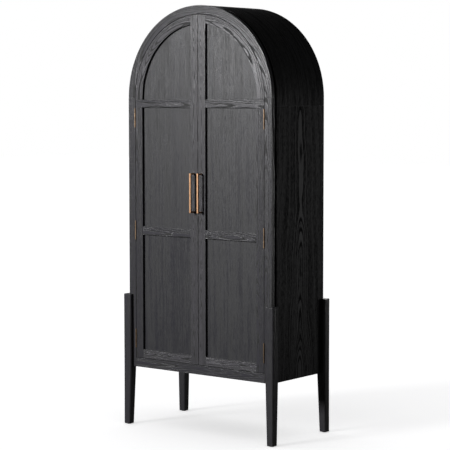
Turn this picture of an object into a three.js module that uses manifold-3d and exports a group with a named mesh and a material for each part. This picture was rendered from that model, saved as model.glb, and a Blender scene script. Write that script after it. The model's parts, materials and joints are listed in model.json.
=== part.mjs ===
// Tall arched storage cabinet on four legs: a black oak carcass with a bent arch, a face frame,
// two inset framed doors on butt hinges, fixed shelves, and posts that wrap the carcass corners.
// Millimetres. +X to the cabinet's right as one faces it, -Y to the front, +Z up, floor at Z = 0.
// The origin is on the floor, in the middle of the whole cabinet's footprint.

import * as THREE from "three";
import { mergeVertices } from "three/addons/utils/BufferGeometryUtils.js";
import Module from "manifold-3d";

// ---------------------------------------------------------------- driving dimensions

// Carcass
const WIDTH = 974; // across the carcass, without the legs
const DEPTH = 465; // front of the face frame to the back edge of the sides
const HEIGHT = 2286; // floor to the crown of the arch
const CARCASS_BOTTOM = 324; // underside of the carcass above the floor
const SHELL_THICK = 20; // sides and bent arch
const SHELL_SKIRT = 42; // straight ends of the bent arch, below its springing
const BACK_THICK = 8;
const BACK_RECESS = 4; // back panel in from the sides' back edges
const ARC_STEPS = 48; // facets in each half circle

// Face frame and the recessed stop frame behind it
const FRAME_FACE = 46;
const SILL_HEIGHT = 49.5; // bottom rail of the face frame
const REVEAL_WIDTH = 18; // shadow groove between the face frame and the sides
const REVEAL_DEPTH = 14;
const STOP_OVERLAP = 10; // the doors' outer edges lie this far over the stop frame
const STOP_GAP = 2; // between a closed door's back and the stop frame

// Doors
const DOOR_THICK = 24;
const DOOR_GAP = 3; // all round each door
const DOOR_MEMBER = 48; // stiles and arched rails
const DOOR_BOTTOM_RAIL = 47;
const MID_RAIL_BOTTOM = 1056;
const MID_RAIL_HEIGHT = 45;
const TRANSOM_DROP = 9; // top of the transom below the springing of the arch
const TRANSOM_HEIGHT = 42;
const PANEL_THICK = 6;
const PANEL_RECESS = 15;
const PANEL_TONGUE = 8;

// Shelves
const SHELF_THICK = 22;
const SHELF_SETBACK = 4; // front edges behind the stop frame
const HOUSING_DEPTH = 6; // shelf ends let into the sides
const TOP_SHELF_DROP = 3; // top shelf's face below the transom's top edge
const BOTTOM_BOARD_THICK = 20;

// Legs
const LEG_SECTION = 53;
const LEG_FOOT = 42; // side of the foot at the floor
const LEG_TOP = 725;
const LEG_PROUD_SIDE = 27;
const LEG_PROUD_FRONT = 24;
const LEG_PROUD_BACK = 27;
const LEG_CORNER = 12; // radius of the upright edges
const LEG_CORNER_STEPS = 4;
const LEG_TOP_EASE = 2;
const LEG_FOOT_EASE = 4;

// Foot glides
const GLIDE_RADIUS = 13;
const GLIDE_HEIGHT = 3;
const GLIDE_EASE = 1;
const GLIDE_PIN_RADIUS = 2.5;
const GLIDE_PIN_LENGTH = 12;

// Butt hinges
const HINGE_LENGTH = 102;
const LOWER_HINGE_RISE = 54.5; // foot of the door to the foot of the lower hinge
const UPPER_HINGE_DROP = 6; // underside of the transom to the top of the upper hinge
const BARREL_RADIUS = 4.5;
const BARREL_PROUD = 1.5; // pin axis in front of the door's face
const HINGE_PIN_RADIUS = 2.2;
const LEAF_THICK = 2;
const LEAF_DEPTH = 19; // leaf back from the door's face
const LEAF_PROUD = 0.9; // leaf out of its mortise, into the door gap
const KNUCKLES = 5;
const BARREL_STEPS = 14;

// Bar handles
const HANDLE_LENGTH = 212;
const HANDLE_BOTTOM = 1190;
const HANDLE_REACH = 38; // door face to the bar's outer face
const HANDLE_WIDTH = 11;
const HANDLE_DEPTH = 9;
const HANDLE_CORNER = 11;
const HANDLE_EDGE = 2; // rounding of the bar's long edges

// Double magnetic catch and its strikes
const CATCH_WIDTH = 64;
const CATCH_HEIGHT = 13;
const CATCH_DEPTH = 36;
const MAGNET_WIDTH = 18;
const MAGNET_HEIGHT = 7;
const MAGNET_PROUD = 1;
const MAGNET_SPACING = 34;
const STRIKE_WIDTH = 26;
const STRIKE_THICK = 1.2;
const STRIKE_HOLE_RADIUS = 1.8;

// Clearances
const SEAT = 0.3; // between two pieces that are glued, screwed or set against each other
const TONGUE_CLEAR = 0.3; // round a panel's tongue in its groove
const PIN_CLEAR = 0.3; // between a hinge pin and the knuckles that turn on it
const KNUCKLE_CLEAR = 0.4; // round the barrel and between knuckles
const OVERCUT = 2; // how far a cutting solid passes the face it opens

// ---------------------------------------------------------------- derived places

const OUTER_R = WIDTH / 2;
const INNER_R = OUTER_R - SHELL_THICK;
const SPRING_Z = HEIGHT - OUTER_R;
const SHELL_SEAM_Z = SPRING_Z - SHELL_SKIRT;

const FRONT_Y = -DEPTH / 2;
const BACK_Y = DEPTH / 2;
const DOOR_BACK_Y = FRONT_Y + DOOR_THICK;
const FRAME_BACK_Y = DOOR_BACK_Y + STOP_GAP;
const SHELL_FRONT_Y = FRAME_BACK_Y + REVEAL_WIDTH;
const SHELF_FRONT_Y = SHELL_FRONT_Y + SHELF_SETBACK;
const PANEL_BACK_Y = BACK_Y - BACK_RECESS;
const PANEL_FRONT_Y = PANEL_BACK_Y - BACK_THICK;

const OPENING_R = OUTER_R - FRAME_FACE;
const SILL_TOP_Z = CARCASS_BOTTOM + SILL_HEIGHT;

const DOOR_R = OPENING_R - DOOR_GAP;
const DOOR_INNER_R = DOOR_R - DOOR_MEMBER;
const DOOR_BOTTOM_Z = SILL_TOP_Z + DOOR_GAP;
const MEETING_X = DOOR_GAP / 2;
const MEETING_INNER_X = MEETING_X + DOOR_MEMBER;
const BOTTOM_RAIL_TOP_Z = DOOR_BOTTOM_Z + DOOR_BOTTOM_RAIL;
const MID_RAIL_TOP_Z = MID_RAIL_BOTTOM + MID_RAIL_HEIGHT;
const MID_RAIL_CENTRE_Z = MID_RAIL_BOTTOM + MID_RAIL_HEIGHT / 2;
const TRANSOM_TOP_Z = SPRING_Z - TRANSOM_DROP;
const TRANSOM_BOTTOM_Z = TRANSOM_TOP_Z - TRANSOM_HEIGHT;

const STOP_OUTER_R = OUTER_R - REVEAL_DEPTH;
const STOP_INNER_R = DOOR_R - STOP_OVERLAP;
const STOP_BOTTOM_Z = CARCASS_BOTTOM + REVEAL_DEPTH;
const STOP_SILL_Z = DOOR_BOTTOM_Z + STOP_OVERLAP;

// The middle shelf hides behind the middle rails and the top one behind the transoms. The other two
// stand halfway between their neighbours.
const MIDDLE_SHELF_TOP_Z = MID_RAIL_CENTRE_Z + SHELF_THICK / 2;
const MIDDLE_SHELF_BOTTOM_Z = MIDDLE_SHELF_TOP_Z - SHELF_THICK;
const TOP_SHELF_TOP_Z = TRANSOM_TOP_Z - TOP_SHELF_DROP;
const LOWER_SHELF_TOP_Z = (SILL_TOP_Z + MIDDLE_SHELF_TOP_Z) / 2;
const UPPER_SHELF_TOP_Z = (MIDDLE_SHELF_TOP_Z + TOP_SHELF_TOP_Z) / 2;

const HINGE_X = DOOR_R + DOOR_GAP / 2;
const HINGE_Y = FRONT_Y - BARREL_PROUD;
const HINGES = [
  { name: "lower", z: DOOR_BOTTOM_Z + LOWER_HINGE_RISE + HINGE_LENGTH / 2 },
  { name: "middle", z: MID_RAIL_CENTRE_Z },
  { name: "upper", z: TRANSOM_BOTTOM_Z - UPPER_HINGE_DROP - HINGE_LENGTH / 2 },
];
const HANDLE_X = MEETING_X + DOOR_MEMBER / 2;

// The handles stand out in front and the legs behind, so the footprint's middle is off the carcass's.
const CARCASS_SHIFT_Y = (HANDLE_REACH - LEG_PROUD_BACK) / 2;

// ---------------------------------------------------------------- finishes

const FINISHES = {
  oak: { color: 0x26262a, roughness: 0.62, metalness: 0 },
  oak_panel: { color: 0x2b2b2f, roughness: 0.66, metalness: 0 },
  oak_inside: { color: 0x1d1d20, roughness: 0.7, metalness: 0 },
  brass: { color: 0xb08a5b, roughness: 0.34, metalness: 1 },
  hinge_brass: { color: 0x6e5138, roughness: 0.45, metalness: 1 },
  steel: { color: 0x9a9a9c, roughness: 0.4, metalness: 1 },
  catch_plastic: { color: 0x17171a, roughness: 0.55, metalness: 0 },
  glide_plastic: { color: 0x101012, roughness: 0.6, metalness: 0 },
};

// ---------------------------------------------------------------- solids and meshes

const wasm = await Module();
wasm.setup();

/** Turns a closed geometry into a solid that can be joined and cut. */
function solidOf(geometry) {
  const bare = geometry.clone();
  bare.deleteAttribute("normal");
  bare.deleteAttribute("uv");
  const merged = mergeVertices(bare, 1e-4);
  const mesh = new wasm.Mesh({
    numProp: 3,
    vertProperties: new Float32Array(merged.attributes.position.array),
    triVerts: new Uint32Array(merged.index.array),
  });
  return new wasm.Manifold(mesh);
}

/** Turns a solid back into a geometry with face normals. */
function geometryOf(solid) {
  const mesh = solid.getMesh();
  const geometry = new THREE.BufferGeometry();
  geometry.setAttribute("position", new THREE.BufferAttribute(new Float32Array(mesh.vertProperties), 3));
  geometry.setIndex(new THREE.BufferAttribute(new Uint32Array(mesh.triVerts), 1));
  geometry.computeVertexNormals();
  return geometry;
}

/** The same geometry on the other side of the cabinet, with its faces still pointing out. */
function mirrored(geometry) {
  const other = geometry.clone();
  other.scale(-1, 1, 1);
  const index = other.index.array;
  for (let i = 0; i < index.length; i += 3) {
    const first = index[i];
    index[i] = index[i + 1];
    index[i + 1] = first;
  }
  other.computeVertexNormals();
  return other;
}

/** A rectangular block between two corners. */
function block(x0, x1, y0, y1, z0, z1) {
  const geometry = new THREE.BoxGeometry(x1 - x0, y1 - y0, z1 - z0);
  geometry.translate((x0 + x1) / 2, (y0 + y1) / 2, (z0 + z1) / 2);
  return solidOf(geometry);
}

/** An upright board with the given outline in X and Z, between two depths. */
function board(outline, y0, y1) {
  const geometry = new THREE.ExtrudeGeometry(outline, {
    depth: y1 - y0,
    bevelEnabled: false,
    curveSegments: ARC_STEPS / 2,
  });
  geometry.rotateX(Math.PI / 2);
  geometry.translate(0, y1, 0);
  return solidOf(geometry);
}

/** The arched outline of a given radius: a half circle on two straight sides that end at bottomZ. */
function archOutline(radius, bottomZ) {
  const outline = new THREE.Shape();
  outline.moveTo(-radius, bottomZ);
  outline.lineTo(-radius, SPRING_Z);
  outline.absarc(0, SPRING_Z, radius, Math.PI, 0, true);
  outline.lineTo(radius, bottomZ);
  outline.closePath();
  return outline;
}

/** An arched board. */
function archBoard(radius, bottomZ, y0, y1) {
  return board(archOutline(radius, bottomZ), y0, y1);
}

/** An arch of a given face width, open below: the outer arch less the inner one. */
function archRing(outerRadius, innerRadius, bottomZ, y0, y1) {
  const hollow = archBoard(innerRadius, bottomZ - OVERCUT, y0 - OVERCUT, y1 + OVERCUT);
  return archBoard(outerRadius, bottomZ, y0, y1).subtract(hollow);
}

/** An upright rod. */
function rod(x, y, z0, z1, radius, steps) {
  const geometry = new THREE.CylinderGeometry(radius, radius, z1 - z0, steps);
  geometry.rotateX(Math.PI / 2);
  geometry.translate(x, y, (z0 + z1) / 2);
  return solidOf(geometry);
}

/** A named mesh with a material of its own. */
function piece(name, geometry, finish) {
  const mesh = new THREE.Mesh(geometry, new THREE.MeshStandardMaterial(FINISHES[finish]));
  mesh.name = name;
  return mesh;
}

/** Adds a right-hand piece and its mirror image to two groups, named for their sides. */
function addPair(leftGroup, rightGroup, nameFor, solid, finish) {
  const geometry = geometryOf(solid);
  rightGroup.add(piece(nameFor("right"), geometry, finish));
  leftGroup.add(piece(nameFor("left"), mirrored(geometry), finish));
}

// ---------------------------------------------------------------- face frame

/** What the hinges need cut from a stile: leaf mortises in its edge, and a round seat for the barrels. */
function hingeRecesses(edgeX, woodSide) {
  const leafX = edgeX + woodSide * (LEAF_THICK - LEAF_PROUD + SEAT);
  const openX = edgeX - woodSide * OVERCUT;
  const half = HINGE_LENGTH / 2 + SEAT;
  return HINGES.map(({ z }) => {
    const mortise = block(
      Math.min(leafX, openX),
      Math.max(leafX, openX),
      FRONT_Y - OVERCUT,
      FRONT_Y + LEAF_DEPTH + SEAT,
      z - half,
      z + half,
    );
    const seat = rod(HINGE_X, HINGE_Y, z - half, z + half, BARREL_RADIUS + KNUCKLE_CLEAR, BARREL_STEPS);
    return mortise.add(seat);
  });
}

/** The bent head of the face frame. */
function faceArch() {
  return archRing(OUTER_R, OPENING_R, SPRING_Z, FRONT_Y, FRAME_BACK_Y);
}

/** A straight side of the face frame, recessed for its three hinges. */
function faceStile() {
  let stile = block(OPENING_R, OUTER_R, FRONT_Y, FRAME_BACK_Y, CARCASS_BOTTOM, SPRING_Z - SEAT);
  for (const cut of hingeRecesses(OPENING_R, 1)) {
    stile = stile.subtract(cut);
  }
  return stile;
}

/** The bottom rail between the face frame's sides. */
function faceBottomRail() {
  const end = OPENING_R - SEAT;
  return block(-end, end, FRONT_Y, FRAME_BACK_Y, CARCASS_BOTTOM, SILL_TOP_Z);
}

/** The recessed frame that floors the shadow groove and stops the doors. */
function stopFrame() {
  const y0 = FRAME_BACK_Y + SEAT;
  const y1 = SHELL_FRONT_Y - SEAT;
  const hollow = archBoard(STOP_INNER_R, STOP_SILL_Z, y0 - OVERCUT, y1 + OVERCUT);
  return archBoard(STOP_OUTER_R, STOP_BOTTOM_Z, y0, y1).subtract(hollow);
}

function addFaceFrame(group) {
  group.add(piece("face_arch", geometryOf(faceArch()), "oak"));
  addPair(group, group, (side) => `face_stile_${side}`, faceStile(), "oak");
  group.add(piece("face_bottom_rail", geometryOf(faceBottomRail()), "oak"));
  group.add(piece("stop_frame", geometryOf(stopFrame()), "oak"));
}

// ---------------------------------------------------------------- carcass

const SHELVES = [
  { name: "bottom_board", top: SILL_TOP_Z, thick: BOTTOM_BOARD_THICK },
  { name: "lower_shelf", top: LOWER_SHELF_TOP_Z, thick: SHELF_THICK },
  { name: "middle_shelf", top: MIDDLE_SHELF_TOP_Z, thick: SHELF_THICK },
  { name: "upper_shelf", top: UPPER_SHELF_TOP_Z, thick: SHELF_THICK },
  { name: "top_shelf", top: TOP_SHELF_TOP_Z, thick: SHELF_THICK },
];

/** A side or arch with the shelf housings cut across its inside. */
function withHousings(shell) {
  const half = INNER_R + HOUSING_DEPTH;
  let housed = shell;
  for (const { top, thick } of SHELVES) {
    const z0 = top - thick - SEAT;
    const z1 = top + SEAT;
    housed = housed.subtract(block(-half, half, SHELL_FRONT_Y - OVERCUT, PANEL_FRONT_Y, z0, z1));
  }
  return housed;
}

/** The bent top of the carcass, one continuous shell with short straight ends. */
function archShell() {
  return withHousings(archRing(OUTER_R, INNER_R, SHELL_SEAM_Z, SHELL_FRONT_Y, BACK_Y));
}

/** A flat side of the carcass, below the bent shell. */
function sidePanel() {
  return withHousings(block(INNER_R, OUTER_R, SHELL_FRONT_Y, BACK_Y, CARCASS_BOTTOM, SHELL_SEAM_Z - SEAT));
}

/** The thin arched back, let in between the sides. */
function backPanel() {
  return archBoard(INNER_R - SEAT, CARCASS_BOTTOM, PANEL_FRONT_Y, PANEL_BACK_Y);
}

/** A shelf with its ends in the housings. */
function shelf({ top, thick }) {
  const end = INNER_R + HOUSING_DEPTH - SEAT;
  return block(-end, end, SHELF_FRONT_Y, PANEL_FRONT_Y - SEAT, top - thick, top);
}

function addCarcass(group) {
  group.add(piece("arch_shell", geometryOf(archShell()), "oak"));
  addPair(group, group, (side) => `side_panel_${side}`, sidePanel(), "oak");
  group.add(piece("back_panel", geometryOf(backPanel()), "oak_inside"));
  for (const entry of SHELVES) {
    group.add(piece(entry.name, geometryOf(shelf(entry)), "oak_inside"));
  }
}

// ---------------------------------------------------------------- legs

/** The corners of a rounded rectangle at one height, counter-clockwise from above. */
function roundedRing(x0, x1, y0, y1, radius, z) {
  const corners = [
    [x1 - radius, y1 - radius, 0],
    [x0 + radius, y1 - radius, Math.PI / 2],
    [x0 + radius, y0 + radius, Math.PI],
    [x1 - radius, y0 + radius, 1.5 * Math.PI],
  ];
  const points = [];
  for (const [cx, cy, start] of corners) {
    for (let i = 0; i <= LEG_CORNER_STEPS; i += 1) {
      const angle = start + (i / LEG_CORNER_STEPS) * (Math.PI / 2);
      points.push(new THREE.Vector3(cx + radius * Math.cos(angle), cy + radius * Math.sin(angle), z));
    }
  }
  return points;
}

/** A closed solid through a stack of rings with the same number of points. */
function loft(rings) {
  const count = rings[0].length;
  const points = rings.flat();
  const index = [];
  for (let level = 0; level + 1 < rings.length; level += 1) {
    for (let i = 0; i < count; i += 1) {
      const a = level * count + i;
      const b = level * count + ((i + 1) % count);
      index.push(a, b, b + count, a, b + count, a + count);
    }
  }
  const last = (rings.length - 1) * count;
  for (let i = 1; i + 1 < count; i += 1) {
    index.push(0, i + 1, i);
    index.push(last, last + i, last + i + 1);
  }
  const geometry = new THREE.BufferGeometry().setFromPoints(points);
  geometry.setIndex(index);
  return solidOf(geometry);
}

/** One right-hand leg, front or back: straight outside, tapered inside, notched round the carcass. */
function leg(front) {
  const outerX = OUTER_R + LEG_PROUD_SIDE;
  const outerY = front ? FRONT_Y - LEG_PROUD_FRONT : BACK_Y + LEG_PROUD_BACK;
  const levels = [
    [GLIDE_HEIGHT + SEAT, LEG_FOOT, LEG_FOOT_EASE],
    [GLIDE_HEIGHT + SEAT + LEG_FOOT_EASE / 4, LEG_FOOT, LEG_FOOT_EASE / 2],
    [GLIDE_HEIGHT + SEAT + LEG_FOOT_EASE, LEG_FOOT, 0],
    [CARCASS_BOTTOM, LEG_SECTION, 0],
    [LEG_TOP - LEG_TOP_EASE, LEG_SECTION, 0],
    [LEG_TOP, LEG_SECTION, LEG_TOP_EASE],
  ];
  const rings = levels.map(([z, size, inset]) => {
    const x1 = outerX - inset;
    const x0 = outerX - size + inset;
    const near = outerY + (front ? inset : -inset);
    const far = outerY + (front ? size - inset : inset - size);
    return roundedRing(x0, x1, Math.min(near, far), Math.max(near, far), LEG_CORNER - inset, z);
  });
  const notch = block(
    0,
    OUTER_R + SEAT,
    FRONT_Y - SEAT,
    BACK_Y + SEAT,
    CARCASS_BOTTOM - SEAT,
    LEG_TOP + OVERCUT,
  );
  const [x, y] = footCentre(front);
  const holeTop = GLIDE_PIN_LENGTH + SEAT;
  const pinHole = rod(x, y, 0, holeTop, GLIDE_PIN_RADIUS + SEAT, BARREL_STEPS);
  return loft(rings).subtract(notch).subtract(pinHole);
}

/** The middle of a right-hand foot. */
function footCentre(front) {
  const x = OUTER_R + LEG_PROUD_SIDE - LEG_FOOT / 2;
  const y = front ? FRONT_Y - LEG_PROUD_FRONT + LEG_FOOT / 2 : BACK_Y + LEG_PROUD_BACK - LEG_FOOT / 2;
  return [x, y];
}

/** A nailed glide under a foot. */
function footGlide(front) {
  const profile = [
    new THREE.Vector2(0, 0),
    new THREE.Vector2(GLIDE_RADIUS - GLIDE_EASE, 0),
    new THREE.Vector2(GLIDE_RADIUS, GLIDE_EASE),
    new THREE.Vector2(GLIDE_RADIUS, GLIDE_HEIGHT),
    new THREE.Vector2(GLIDE_PIN_RADIUS, GLIDE_HEIGHT),
    new THREE.Vector2(GLIDE_PIN_RADIUS, GLIDE_PIN_LENGTH),
    new THREE.Vector2(0, GLIDE_PIN_LENGTH),
  ];
  const geometry = new THREE.LatheGeometry(profile, BARREL_STEPS);
  geometry.rotateX(Math.PI / 2);
  const [x, y] = footCentre(front);
  geometry.translate(x, y, 0);
  return solidOf(geometry);
}

function addLegs(group) {
  for (const end of ["front", "back"]) {
    const front = end === "front";
    addPair(group, group, (side) => `leg_${end}_${side}`, leg(front), "oak");
    addPair(group, group, (side) => `foot_glide_${end}_${side}`, footGlide(front), "glide_plastic");
  }
}

// ---------------------------------------------------------------- hinges

/** The heights of every other knuckle of a hinge, starting with the lowest or the one above it. */
function knuckleSpans(z, first) {
  const pitch = HINGE_LENGTH / KNUCKLES;
  const spans = [];
  for (let i = first; i < KNUCKLES; i += 2) {
    const bottom = z - HINGE_LENGTH / 2 + i * pitch;
    spans.push([bottom, bottom + pitch]);
  }
  return spans;
}

/** A hinge leaf with its own knuckles, cut back round the other leaf's. */
function leafWithKnuckles(z, x0, x1, ownSpans, otherSpans) {
  let leaf = block(x0, x1, HINGE_Y, FRONT_Y + LEAF_DEPTH, z - HINGE_LENGTH / 2, z + HINGE_LENGTH / 2);
  for (const [z0, z1] of ownSpans) {
    leaf = leaf.add(rod(HINGE_X, HINGE_Y, z0, z1, BARREL_RADIUS, BARREL_STEPS));
  }
  const half = KNUCKLE_CLEAR / 2;
  for (const [z0, z1] of otherSpans) {
    leaf = leaf.subtract(
      rod(HINGE_X, HINGE_Y, z0 - half, z1 + half, BARREL_RADIUS + KNUCKLE_CLEAR, BARREL_STEPS),
    );
  }
  return leaf;
}

/** The frame's leaf of a hinge, with the pin fixed in its knuckles. */
function frameLeaf(z) {
  const x0 = OPENING_R - LEAF_PROUD;
  const leaf = leafWithKnuckles(z, x0, x0 + LEAF_THICK, knuckleSpans(z, 0), knuckleSpans(z, 1));
  const half = HINGE_LENGTH / 2;
  return leaf.add(rod(HINGE_X, HINGE_Y, z - half, z + half, HINGE_PIN_RADIUS, BARREL_STEPS));
}

/** The door's leaf of a hinge, bored to turn on the pin. */
function doorLeaf(z) {
  const x1 = DOOR_R + LEAF_PROUD;
  const leaf = leafWithKnuckles(z, x1 - LEAF_THICK, x1, knuckleSpans(z, 1), knuckleSpans(z, 0));
  const half = HINGE_LENGTH / 2 + OVERCUT;
  const boreRadius = HINGE_PIN_RADIUS + PIN_CLEAR;
  return leaf.subtract(rod(HINGE_X, HINGE_Y, z - half, z + half, boreRadius, BARREL_STEPS));
}

function addHinges(frameGroup, leftDoor, rightDoor) {
  for (const { name, z } of HINGES) {
    const frameName = (side) => `frame_hinge_leaf_${name}_${side}`;
    const doorName = (side) => `door_hinge_leaf_${name}_${side}`;
    addPair(frameGroup, frameGroup, frameName, frameLeaf(z), "hinge_brass");
    addPair(leftDoor, rightDoor, doorName, doorLeaf(z), "hinge_brass");
  }
}

// ---------------------------------------------------------------- doors

/** The space inside the right door's frame between two heights, grown by margin on every edge. */
function doorField(z0, z1, margin, y0, y1) {
  const field = archBoard(DOOR_INNER_R + margin, z0 - margin, y0, y1);
  const x0 = MEETING_INNER_X - margin;
  const keep = block(x0, OUTER_R, y0 - OVERCUT, y1 + OVERCUT, z0 - margin - OVERCUT, z1 + margin);
  return field.intersect(keep);
}

const DOOR_FIELDS = [
  { name: "lower_panel", z0: BOTTOM_RAIL_TOP_Z, z1: MID_RAIL_BOTTOM },
  { name: "middle_panel", z0: MID_RAIL_TOP_Z, z1: TRANSOM_BOTTOM_Z },
  { name: "top_panel", z0: TRANSOM_TOP_Z, z1: HEIGHT },
];

/** A door panel, its edges reaching into the grooves. */
function doorPanel({ z0, z1 }) {
  const y0 = FRONT_Y + PANEL_RECESS;
  return doorField(z0, z1, PANEL_TONGUE, y0, y0 + PANEL_THICK);
}

/** A member of the door's frame with the panel grooves run in it. */
function grooved(member) {
  const y0 = FRONT_Y + PANEL_RECESS - TONGUE_CLEAR;
  const y1 = y0 + PANEL_THICK + 2 * TONGUE_CLEAR;
  let cut = member;
  for (const { z0, z1 } of DOOR_FIELDS) {
    cut = cut.subtract(doorField(z0, z1, PANEL_TONGUE + TONGUE_CLEAR, y0, y1));
  }
  return cut;
}

/** The upright at the hinges, up to the transom. */
function hingeStile() {
  const z1 = TRANSOM_BOTTOM_Z - SEAT;
  let stile = grooved(block(DOOR_INNER_R, DOOR_R, FRONT_Y, DOOR_BACK_Y, DOOR_BOTTOM_Z, z1));
  for (const cut of hingeRecesses(DOOR_R, -1)) {
    stile = stile.subtract(cut);
  }
  return stile;
}

/** The upright beside the other door, its top on the arch. */
function meetingStile() {
  const keep = block(MEETING_X, MEETING_INNER_X, FRONT_Y - OVERCUT, DOOR_BACK_Y + OVERCUT, 0, HEIGHT);
  return grooved(archBoard(DOOR_R, DOOR_BOTTOM_Z, FRONT_Y, DOOR_BACK_Y).intersect(keep));
}

/** The quarter-round head of the door's frame, standing on the transom. */
function archRail() {
  const ring = archRing(DOOR_R, DOOR_INNER_R, TRANSOM_TOP_Z + SEAT, FRONT_Y, DOOR_BACK_Y);
  const keep = block(MEETING_INNER_X + SEAT, OUTER_R, FRONT_Y - OVERCUT, DOOR_BACK_Y + OVERCUT, 0, HEIGHT);
  return grooved(ring.intersect(keep));
}

/** A rail from the meeting stile out to outerX, between two heights. */
function crossRail(outerX, z0, z1) {
  return grooved(block(MEETING_INNER_X + SEAT, outerX, FRONT_Y, DOOR_BACK_Y, z0, z1));
}

/** A U-shaped bar handle on the meeting stile. */
function handle() {
  const outer = HANDLE_REACH;
  const inner = HANDLE_REACH - HANDLE_DEPTH;
  const innerCorner = HANDLE_CORNER - HANDLE_DEPTH;
  const top = HANDLE_LENGTH;
  const outline = new THREE.Shape();
  outline.moveTo(SEAT, 0);
  outline.lineTo(outer - HANDLE_CORNER, 0);
  outline.absarc(outer - HANDLE_CORNER, HANDLE_CORNER, HANDLE_CORNER, -Math.PI / 2, 0, false);
  outline.lineTo(outer, top - HANDLE_CORNER);
  outline.absarc(outer - HANDLE_CORNER, top - HANDLE_CORNER, HANDLE_CORNER, 0, Math.PI / 2, false);
  outline.lineTo(SEAT, top);
  outline.lineTo(SEAT, top - HANDLE_DEPTH);
  outline.lineTo(inner - innerCorner, top - HANDLE_DEPTH);
  outline.lineTo(inner, top - HANDLE_DEPTH - innerCorner);
  outline.lineTo(inner, HANDLE_DEPTH + innerCorner);
  outline.lineTo(inner - innerCorner, HANDLE_DEPTH);
  outline.lineTo(SEAT, HANDLE_DEPTH);
  outline.closePath();
  const geometry = new THREE.ExtrudeGeometry(outline, {
    depth: HANDLE_WIDTH - 2 * HANDLE_EDGE,
    bevelThickness: HANDLE_EDGE,
    bevelSize: HANDLE_EDGE,
    bevelOffset: -HANDLE_EDGE,
    bevelSegments: 2,
    curveSegments: 3,
  });
  const toDoor = new THREE.Matrix4().makeBasis(
    new THREE.Vector3(0, -1, 0),
    new THREE.Vector3(0, 0, 1),
    new THREE.Vector3(-1, 0, 0),
  );
  geometry.translate(0, 0, HANDLE_EDGE - HANDLE_WIDTH / 2);
  geometry.applyMatrix4(toDoor);
  geometry.translate(HANDLE_X, FRONT_Y, HANDLE_BOTTOM);
  return solidOf(geometry);
}

/** The steel plate on a door's back that the catch's magnet holds. */
function strike() {
  const y0 = DOOR_BACK_Y + SEAT;
  const z1 = MIDDLE_SHELF_BOTTOM_Z - SEAT;
  const z0 = z1 - CATCH_HEIGHT;
  const x = MAGNET_SPACING / 2;
  const plate = block(x - STRIKE_WIDTH / 2, x + STRIKE_WIDTH / 2, y0, y0 + STRIKE_THICK, z0, z1);
  const hole = new THREE.CylinderGeometry(
    STRIKE_HOLE_RADIUS,
    STRIKE_HOLE_RADIUS,
    STRIKE_THICK + 2 * OVERCUT,
    BARREL_STEPS,
  );
  hole.translate(x, y0 + STRIKE_THICK / 2, (z0 + z1) / 2);
  return plate.subtract(solidOf(hole));
}

function addDoors(leftDoor, rightDoor) {
  const pair = (name, solid, finish) => {
    addPair(leftDoor, rightDoor, (side) => `${name}_${side}`, solid, finish);
  };
  const betweenStiles = DOOR_INNER_R - SEAT;
  pair("hinge_stile", hingeStile(), "oak");
  pair("meeting_stile", meetingStile(), "oak");
  pair("arch_rail", archRail(), "oak");
  pair("transom", crossRail(DOOR_R, TRANSOM_BOTTOM_Z, TRANSOM_TOP_Z), "oak");
  pair("mid_rail", crossRail(betweenStiles, MID_RAIL_BOTTOM, MID_RAIL_TOP_Z), "oak");
  pair("bottom_rail", crossRail(betweenStiles, DOOR_BOTTOM_Z, BOTTOM_RAIL_TOP_Z), "oak");
  for (const field of DOOR_FIELDS) {
    pair(field.name, doorPanel(field), "oak_panel");
  }
  pair("handle", handle(), "brass");
  pair("strike", strike(), "steel");
}

// ---------------------------------------------------------------- catch

/** The double magnetic catch, screwed up under the middle shelf's front edge. */
function catchBody() {
  const z1 = MIDDLE_SHELF_BOTTOM_Z - SEAT;
  const z0 = z1 - CATCH_HEIGHT;
  const magnetFace = DOOR_BACK_Y + SEAT + STRIKE_THICK + SEAT;
  const y0 = magnetFace + MAGNET_PROUD;
  let body = block(-CATCH_WIDTH / 2, CATCH_WIDTH / 2, y0, y0 + CATCH_DEPTH, z0, z1);
  const middle = (z0 + z1) / 2;
  for (const x of [-MAGNET_SPACING / 2, MAGNET_SPACING / 2]) {
    body = body.add(
      block(
        x - MAGNET_WIDTH / 2,
        x + MAGNET_WIDTH / 2,
        magnetFace,
        y0 + OVERCUT,
        middle - MAGNET_HEIGHT / 2,
        middle + MAGNET_HEIGHT / 2,
      ),
    );
  }
  return body;
}

// ---------------------------------------------------------------- the cabinet

const cabinet = new THREE.Group();
const leftDoor = new THREE.Group();
const rightDoor = new THREE.Group();
addFaceFrame(cabinet);
addCarcass(cabinet);
addLegs(cabinet);
addHinges(cabinet, leftDoor, rightDoor);
addDoors(leftDoor, rightDoor);
cabinet.add(piece("magnetic_catch", geometryOf(catchBody()), "catch_plastic"));

const group = new THREE.Group();
group.add(cabinet, leftDoor, rightDoor);
for (const part of [cabinet, leftDoor, rightDoor]) {
  part.position.y = CARCASS_SHIFT_Y;
}

export default group;
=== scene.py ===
"""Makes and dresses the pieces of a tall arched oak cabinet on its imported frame."""

import json
import logging
import math
from collections.abc import Callable, Sequence
from dataclasses import dataclass, field
from enum import Enum

import bmesh
import bpy
import numpy as np
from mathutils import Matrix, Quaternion, Vector


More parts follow.
